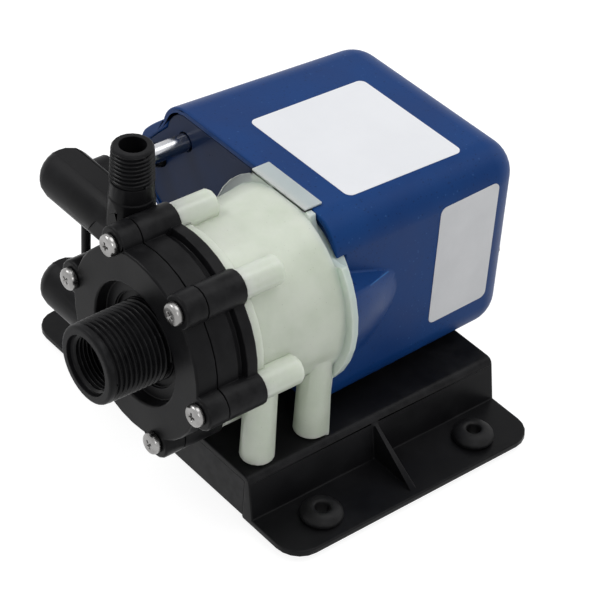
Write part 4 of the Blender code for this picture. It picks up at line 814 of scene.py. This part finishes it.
def makeFill():
    setup = fillSetup
    front = cupSetup["front"] + setup["recess"]
    inset = cupSetup["wall"] + setup["gap"]
    fill = cupBlock(inset, cupSetup["front"] - mm, inset)
    cutAway(fill, shoulder(inset, cupSetup["front"] - mm), "UNION")
    layer = drumAlongY(setup["wide"], front, front + setup["depth"], pumpAxis.x, pumpAxis.z, 24)
    cutAway(fill, layer, "INTERSECT")
    seatEnd = cupSetup["front"] + cupSetup["seatDepth"]
    cutAway(fill, drumAlongY(cupSetup["seat"], setup["seatFrom"], seatEnd, pumpAxis.x, pumpAxis.z))
    holes = [(pumpAxis.x, pumpAxis.z, setup["hole"]),
             (shoulderSetup["x"], shoulderSetup["z"], setup["leadHole"])]
    holes += [(x, z, setup["tubeHole"]) for x, z in setup["tubes"]]
    for x, z, radius in holes:
        cutAway(fill, drumAlongY(radius, setup["holeFrom"], setup["holeTo"], x, z))
    return outwardFaces(fill)


housing = roundEdges(makeHousing(), cupSetup["rounding"], 35, 3)
dress(housing, "blueCup", blueHousing, replaced=["motor_housing"])
fill = roundEdges(makeFill(), fillSetup["rounding"], 40, 2)
dress(fill, "castResin", bluePotting, replaced=["potting"])
print("housing done")


# pipe threads: a ring is cut down to the root, and a screwed ridge stands on it
outletThread = {"axis": (-6.5 * mm, -46.15 * mm), "low": 106.0 * mm, "high": 117.5 * mm,
                "lowRadius": 7.14 * mm, "highRadius": 6.65 * mm, "pitch": 1.411 * mm,
                "depth": 0.85 * mm}
inletThread = {"axis": axisPlace, "low": 55.25 * mm, "high": 75.6 * mm,
               "lowRadius": 13.58 * mm, "highRadius": 13.16 * mm, "pitch": 1.814 * mm,
               "depth": 1.05 * mm}
boreThread = {"axis": axisPlace, "low": 57.5 * mm, "high": 76.4 * mm,
              "lowRadius": 9.2 * mm, "highRadius": 9.2 * mm, "pitch": 1.411 * mm, "depth": 0.7 * mm}
# shares of the pitch, and how far the ridge's foot is sunk in the root
ridgeShape = {"footHalf": 0.46, "tipHalf": 0.11, "soft": 0.09, "start": 0.2, "sunk": 0.25 * mm}


def sectionPlane(corners):
    # a flat section in the X-Z plane whose corners are then moved to the given radius and height
    piece = settlePlace(added(bpy.ops.mesh.primitive_plane_add, size=2.0,
                              rotation=(math.pi / 2, 0, 0)))
    for vertex in piece.data.vertices:
        side = 0 if vertex.co.x < 0 else 1
        level = 0 if vertex.co.z < 0 else 1
        vertex.co = corners[side][level]
    return piece


def turnAround(piece, steps, **values):
    screw = piece.modifiers.new("turn", "SCREW")
    screw.axis = "Z"
    screw.angle = 2 * math.pi
    screw.steps = steps
    screw.render_steps = steps
    for label, value in values.items():
        setattr(screw, label, value)
    return applyModifiers(piece)


def standOnAxis(piece, setup, forward):
    # the outlet's thread stands upright, and the inlet's lies along the pump's axis
    if forward:
        x, z = setup["axis"]
        piece.rotation_euler = (math.pi / 2, 0, 0)
        piece.location = (x, pumpAxis.y, z)
    else:
        piece.location = (*setup["axis"], 0)
    return settlePlace(piece)


def rootCutter(setup, forward):
    low, high, deep = setup["low"], setup["high"], setup["depth"]
    far = setup["lowRadius"] + 2.5 * mm
    near = [(setup["lowRadius"] - deep, 0, low), (setup["highRadius"] - deep, 0, high)]
    ring = sectionPlane([near, [(far, 0, low), (far, 0, high)]])
    editMesh(ring)
    dropFaces()
    turnAround(ring, 96, use_merge_vertices=True, merge_threshold=mergeGap["lathe"])
    return standOnAxis(outwardFaces(ring), setup, forward)


def threadRidge(name, setup, forward, inward=False, steps=72):
    pitch, deep = setup["pitch"], setup["depth"]
    turns = math.floor((setup["high"] - setup["low"]) / pitch)
    sunk = ridgeShape["sunk"]
    foot = setup["lowRadius"] + (sunk if inward else -deep - sunk)
    crest = setup["lowRadius"] - deep if inward else setup["lowRadius"]
    half, tip = pitch * ridgeShape["footHalf"], pitch * ridgeShape["tipHalf"]
    inner, outer = (crest, foot) if inward else (foot, crest)
    innerHalf, outerHalf = (tip, half) if inward else (half, tip)
    ridge = sectionPlane([[(inner, 0, -innerHalf), (inner, 0, innerHalf)],
                          [(outer, 0, -outerHalf), (outer, 0, outerHalf)]])
    editMesh(ridge)
    selectParts(ridge, "vertices", lambda vertex: abs(vertex.co.x - crest) < 0.01 * mm)
    bpy.ops.mesh.bevel(offset=pitch * ridgeShape["soft"], segments=2, affect="VERTICES")
    dropFaces()
    turnAround(ridge, steps, screw_offset=pitch, iterations=turns)
    editMesh(ridge)
    bpy.ops.mesh.select_mode(type="EDGE")
    bpy.ops.mesh.select_non_manifold()
    bpy.ops.mesh.fill_holes(sides=0)
    objectMode()
    if not inward:
        taper = ridge.modifiers.new("taper", "SIMPLE_DEFORM")
        taper.deform_method = "TAPER"
        taper.deform_axis = "Z"
        taper.factor = (setup["highRadius"] / setup["lowRadius"] - 1) * turns * pitch \
            / (setup["high"] - setup["low"])
        applyModifiers(ridge)
    outwardFaces(ridge)
    ridge.location = (0, 0, setup["low"] + pitch * ridgeShape["start"])
    settlePlace(ridge)
    standOnAxis(ridge, setup, forward)
    smoothPiece(ridge, 50)
    return dress(ridge, name, blackThread)


# bracket: its flange ends at the housing's mouth, and only a narrow spigot goes in
bracketSetup = {"axis": axisPlace, "low": -6.0 * mm, "high": 0.3 * mm, "lowRadius": 36.5 * mm,
                "highRadius": 36.5 * mm, "depth": 7.0 * mm, "rim": 34.2 * mm, "rimBefore": 5 * mm,
                "grown": 35.5 / 34.5, "rounding": 0.35 * mm, "angle": 35}
# left of the tab the flange is sunk in the resin, and the tab reaches over the housing's top
sunkSetup = {"axis": axisPlace, "low": -3.95 * mm, "high": 2.75 * mm, "lowRadius": 42.0 * mm,
             "highRadius": 42.0 * mm, "depth": 9.4 * mm,
             "box": ((-40.0, -9.0, 20.0), (-0.9, 6.0, 110.0))}
tabSetup = (((-0.9, -3.8, 93.0), (25.4, -1.35, 96.2)), ((-0.95, -3.85, 95.4), (25.45, 3.1, 96.3)))


def boxBetween(low, high):
    low, high = Vector(low) * mm, Vector(high) * mm
    box = added(bpy.ops.mesh.primitive_cube_add, size=1.0, location=(low + high) / 2)
    box.scale = high - low
    return settlePlace(box)


bracket = copyOfNode("bracket")
for vertex in bracket.data.vertices:
    across, up = vertex.co.x - pumpAxis.x, vertex.co.z - pumpAxis.z
    atRim = math.hypot(across, up) > bracketSetup["rim"]
    if atRim and vertex.co.y > pumpAxis.y - bracketSetup["rimBefore"]:
        vertex.co.x = pumpAxis.x + across * bracketSetup["grown"]
        vertex.co.z = pumpAxis.z + up * bracketSetup["grown"]
cutAway(bracket, rootCutter(bracketSetup, True))
cutAway(bracket, cutAway(rootCutter(sunkSetup, True), boxBetween(*sunkSetup["box"]), "INTERSECT"))
bracket = roundEdges(bracket, bracketSetup["rounding"], bracketSetup["angle"])
dress(bracket, "frostedBracket", naturalPolymer, replaced=["bracket"])
tab = cutAway(boxBetween(*tabSetup[0]), boxBetween(*tabSetup[1]), "UNION")
tab = roundEdges(tab, bracketSetup["rounding"], bracketSetup["angle"])
dress(tab, "frostedTab", naturalPolymer)
print("bracket done")


# pump head
headEdges = {"rounding": 0.3 * mm, "angle": 33, "armEnd": -47.5 * mm, "armShorter": 6.3 * mm,
             "nozzleFoot": 100.0 * mm, "nozzleWide": 9.0 * mm, "nozzleLower": 1.8 * mm,
             "inletTip": -72.0 * mm, "inletLonger": 2.5 * mm}
outletX, outletY = outletThread["axis"]
volute = copyOfNode("volute_body")
for vertex in volute.data.vertices:
    if vertex.co.x < headEdges["armEnd"]:
        vertex.co.x += headEdges["armShorter"]
    aside = math.hypot(vertex.co.x - outletX, vertex.co.y - outletY)
    if vertex.co.z > headEdges["nozzleFoot"] and aside < headEdges["nozzleWide"]:
        vertex.co.z -= headEdges["nozzleLower"]
cutAway(volute, rootCutter(outletThread, False))
volute = roundEdges(volute, headEdges["rounding"], headEdges["angle"])
dress(volute, "headBody", blackMoulded, replaced=["volute_body"])
cover = copyOfNode("front_cover")
for vertex in cover.data.vertices:
    if vertex.co.y < headEdges["inletTip"]:
        vertex.co.y -= headEdges["inletLonger"]
cutAway(cover, rootCutter(inletThread, True))
cover = roundEdges(cover, headEdges["rounding"], headEdges["angle"])
dress(cover, "headCover", blackMoulded, replaced=["front_cover"])
threadRidge("outletRidge", outletThread, False)
threadRidge("inletRidge", inletThread, True)
threadRidge("inletBoreRidge", boreThread, True, inward=True)
print("pump head done")


# screws: one is modelled, and its copies go round the head
screwSetup = {"circle": 33.0 * mm, "firstAngle": 111.5, "count": 6, "headRadius": 3.7 * mm,
              "headHeight": 2.4 * mm, "seat": 60.3 * mm, "shank": 1.9 * mm, "length": 32.6 * mm,
              "slotWidth": 1.15 * mm, "slotReach": 2.15 * mm, "slotDepth": 1.35 * mm,
              "slotTaper": 0.5, "dome": 0.62, "domeShape": 0.55, "rounding": 0.12 * mm,
              "turns": (12.0, 50.0, 75.0, 33.0, 8.0, 62.0)}


def makeCoverScrew(setup):
    height = setup["headHeight"]
    head = settlePlace(added(bpy.ops.mesh.primitive_cylinder_add, vertices=48, depth=height,
                             radius=setup["headRadius"], location=(0, 0, height / 2)))
    editMesh(head)
    selectParts(head, "edges",
                lambda edge: all(end.z > height * 0.9 for end in edgeEnds(head, edge)))
    bpy.ops.mesh.bevel(offset=height * setup["dome"], segments=8, profile=setup["domeShape"])
    selectParts(head, "polygons", lambda face: face.normal.z < -0.9)
    bpy.ops.mesh.inset(thickness=setup["headRadius"] - setup["shank"])
    bpy.ops.mesh.extrude_region_move(TRANSFORM_OT_translate={"value": (0, 0, -setup["length"])})
    objectMode()
    for angle in (0, 90):
        blade = added(bpy.ops.mesh.primitive_cube_add, size=2.0, location=(0, 0, height),
                      rotation=(0, 0, math.radians(angle)))
        blade.scale = (setup["slotReach"], setup["slotWidth"] / 2, setup["slotDepth"])
        settlePlace(blade)
        editMesh(blade)
        selectParts(blade, "vertices", lambda vertex: vertex.co.z < height)
        bpy.ops.transform.resize(value=(setup["slotTaper"], setup["slotTaper"], 1.0),
                                 center_override=(0, 0, 0))
        objectMode()
        cutAway(head, blade)
    return roundEdges(head, setup["rounding"], 40)


screwMaster = makeCoverScrew(screwSetup)
for k in range(screwSetup["count"]):
    angle = math.radians(screwSetup["firstAngle"] + 60 * k)
    screw = screwMaster.copy()
    screw.data = screwMaster.data.copy()
    bpy.context.scene.collection.objects.link(screw)
    place = (pumpAxis.x + screwSetup["circle"] * math.cos(angle), pumpAxis.y - screwSetup["seat"],
             pumpAxis.z + screwSetup["circle"] * math.sin(angle))
    screw.matrix_world = (Matrix.Translation(place) @ Matrix.Rotation(math.pi / 2, 4, "X")
                          @ Matrix.Rotation(math.radians(screwSetup["turns"][k]), 4, "Z"))
    settlePlace(screw)
    dress(screw, "panScrew_%d" % (k + 1), brightSteel, replaced=["cover_screw_%d" % (k + 1)])
bpy.data.objects.remove(screwMaster, do_unlink=True)
print("screws done")


# cooling tube
tube = smoothPiece(copyOfNode("cooling_tube"), 50)
dress(tube, "bentTube", tubeSteel, replaced=["cooling_tube"])
print("tube done")


# bare labels, pressed on the housing
labelSetup = {"thickness": 0.14 * mm, "corner": 2.4 * mm, "lift": 0.03 * mm, "cuts": 24,
              "topCentre": (1.6 * mm, 36.85 * mm, 99 * mm), "topSize": (50.2 * mm, 48.0 * mm),
              "sideCentre": (55 * mm, 56.65 * mm, 60.3 * mm), "sideSize": (46.6 * mm, 26.0 * mm)}


def makeLabel(name, centre, size, axis, material):
    # a flat sheet beside the housing is pressed straight on to its wall
    turn = (0, 0, 0) if axis == "Z" else (0, math.pi / 2, 0)
    sheet = added(bpy.ops.mesh.primitive_plane_add, size=1.0, location=centre, rotation=turn)
    sheet.scale = (*size, 1.0)
    settlePlace(sheet)
    editMesh(sheet)
    selectAll()
    bpy.ops.mesh.bevel(offset=labelSetup["corner"], segments=6, affect="VERTICES")
    across = Vector((1, 0, 0)) if axis == "Z" else Vector((0, 0, 1))
    cuts = labelSetup["cuts"]
    for direction, length in ((across, size[0]), (Vector((0, 1, 0)), size[1])):
        for k in range(1, cuts):
            place = Vector(centre) + direction * length * (k / cuts - 0.5)
            selectAll()
            bpy.ops.mesh.bisect(plane_co=place, plane_no=direction)
    objectMode()
    press = sheet.modifiers.new("press", "SHRINKWRAP")
    press.target = housing
    press.wrap_method = "PROJECT"
    press.use_project_x = axis == "X"
    press.use_project_z = axis == "Z"
    press.use_negative_direction = True
    press.offset = labelSetup["lift"]
    wall = sheet.modifiers.new("wall", "SOLIDIFY")
    wall.thickness = labelSetup["thickness"]
    wall.offset = 1.0
    applyModifiers(sheet)
    smoothPiece(sheet, 30)
    return dress(sheet, name, material)


makeLabel("topLabel", labelSetup["topCentre"], labelSetup["topSize"], "Z", labelStock)
makeLabel("sideLabel", labelSetup["sideCentre"], labelSetup["sideSize"], "X", silverStock)
print("labels done")


# every CAD node gets its own finish
nodesOf = (
    (blackMoulded, "impeller volute_body front_cover"), (blackBase, "base_plate"),
    (blackThread, "lead_connector"), (blueHousing, "motor_housing"), (bluePotting, "potting"),
    (naturalPolymer, "rear_casing bracket"), (tubeSteel, "cooling_tube"),
    (blackRubber, "casing_seal tube_seal_upper tube_seal_lower lead_strain_relief power_lead"),
    (blackRubber, "power_lead_coil power_lead_tail lead_tie"),
    (blackRubber, " ".join("grommet_" + corner for corner in corners)),
    (brightSteel, " ".join("base_screw_%d cover_screw_%d" % (k, k) for k in range(1, 5))),
    (brightSteel, "cover_screw_5 cover_screw_6 hub_set_screw"),
    (whiteCeramic, "spindle front_thrust_washer rear_thrust_washer impeller_bushing"),
    (laminationSteel, "stator_core stator_screw_upper stator_screw_lower motor_shaft rotor_core"),
    (copperWire, "motor_coil shading_bar_upper shading_bar_lower"),
    (bobbinNylon, "coil_bobbin thermal_protector"), (sinteredBronze, "front_bearing rear_bearing"),
    (zincCasting, "front_bearing_bridge rear_bearing_bridge rotor_end_ring_front"),
    (zincCasting, "rotor_end_ring_rear drive_magnet_hub"),
    (magnetFerrite, "drive_magnet impeller_magnet"))
finishes = {nodeName: finish for finish, names in nodesOf for nodeName in names.split()}
for nodeName, finish in finishes.items():
    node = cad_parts[nodeName]
    node.data.materials.clear()
    node.data.materials.append(finish)
missing = sorted(set(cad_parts) - set(finishes))
print("finishes given", len(finishes), "missing", missing)


# floor, world and lamps
studioSetup = {"floorSize": 6.0, "floorColour": (0.8, 0.8, 0.8), "floorSeen": (0.3, 0.3, 0.3),
               "floorGlow": 0.87, "ambient": 0.32}
# each lamp's place, its size across and its power
lampSetup = {"keyLamp": ((-0.9, -0.7, 1.3), 0.8, 9.0), "topLamp": ((0.15, 0.35, 1.5), 1.1, 6.0),
             "fillLamp": ((1.2, -0.45, 0.95), 0.5, 3.2), "backLamp": ((0.3, 1.3, 0.9), 0.9, 3.2)}


def seenDirectly(tree):
    # one for what the camera sees itself, in a reflection or through something clear
    path = tree.nodes.new("ShaderNodeLightPath")
    seen = mathNode(tree, "MAXIMUM", path.outputs["Is Camera Ray"], path.outputs["Is Glossy Ray"])
    return mathNode(tree, "MAXIMUM", seen, path.outputs["Is Transmission Ray"])


def makeFloor(setup):
    floor = added(bpy.ops.mesh.primitive_plane_add, size=setup["floorSize"])
    floor.name = "studioFloor"
    material, tree, shader = newMaterial("studioFloor", Roughness=0.9, Specular_IOR_Level=0.1,
                                         Emission_Color=(1, 1, 1, 1))
    seen = seenDirectly(tree)
    tree.links.new(blendColours(tree, seen, setup["floorColour"], setup["floorSeen"]),
                   shader.inputs["Base Color"])
    tree.links.new(mathNode(tree, "MULTIPLY", seen, setup["floorGlow"]),
                   shader.inputs["Emission Strength"])
    floor.data.materials.append(material)


def makeWorld(setup):
    world = bpy.data.worlds.new("studioWorld")
    world.use_nodes = True
    bpy.context.scene.world = world
    tree = world.node_tree
    ground = tree.nodes["Background"]
    ground.inputs["Color"].default_value = (1, 1, 1, 1)
    tree.links.new(mathNode(tree, "MULTIPLY_ADD", seenDirectly(tree), 1 - setup["ambient"],
                            setup["ambient"]), ground.inputs["Strength"])


def areaLamp(name, place, size, power, aim=(0, 0.01, 0.05)):
    lamp = added(bpy.ops.object.light_add, type="AREA", location=place)
    lamp.name = name
    lamp.data.shape = "DISK"
    lamp.data.size = size
    lamp.data.energy = power
    direction = Vector(aim) - Vector(place)
    lamp.rotation_euler = direction.to_track_quat("-Z", "Y").to_euler()


makeFloor(studioSetup)
makeWorld(studioSetup)
bpy.context.scene.view_settings.view_transform = "Standard"
for lampName, (place, size, power) in lampSetup.items():
    areaLamp(lampName, place, size, power)
print("studio set")
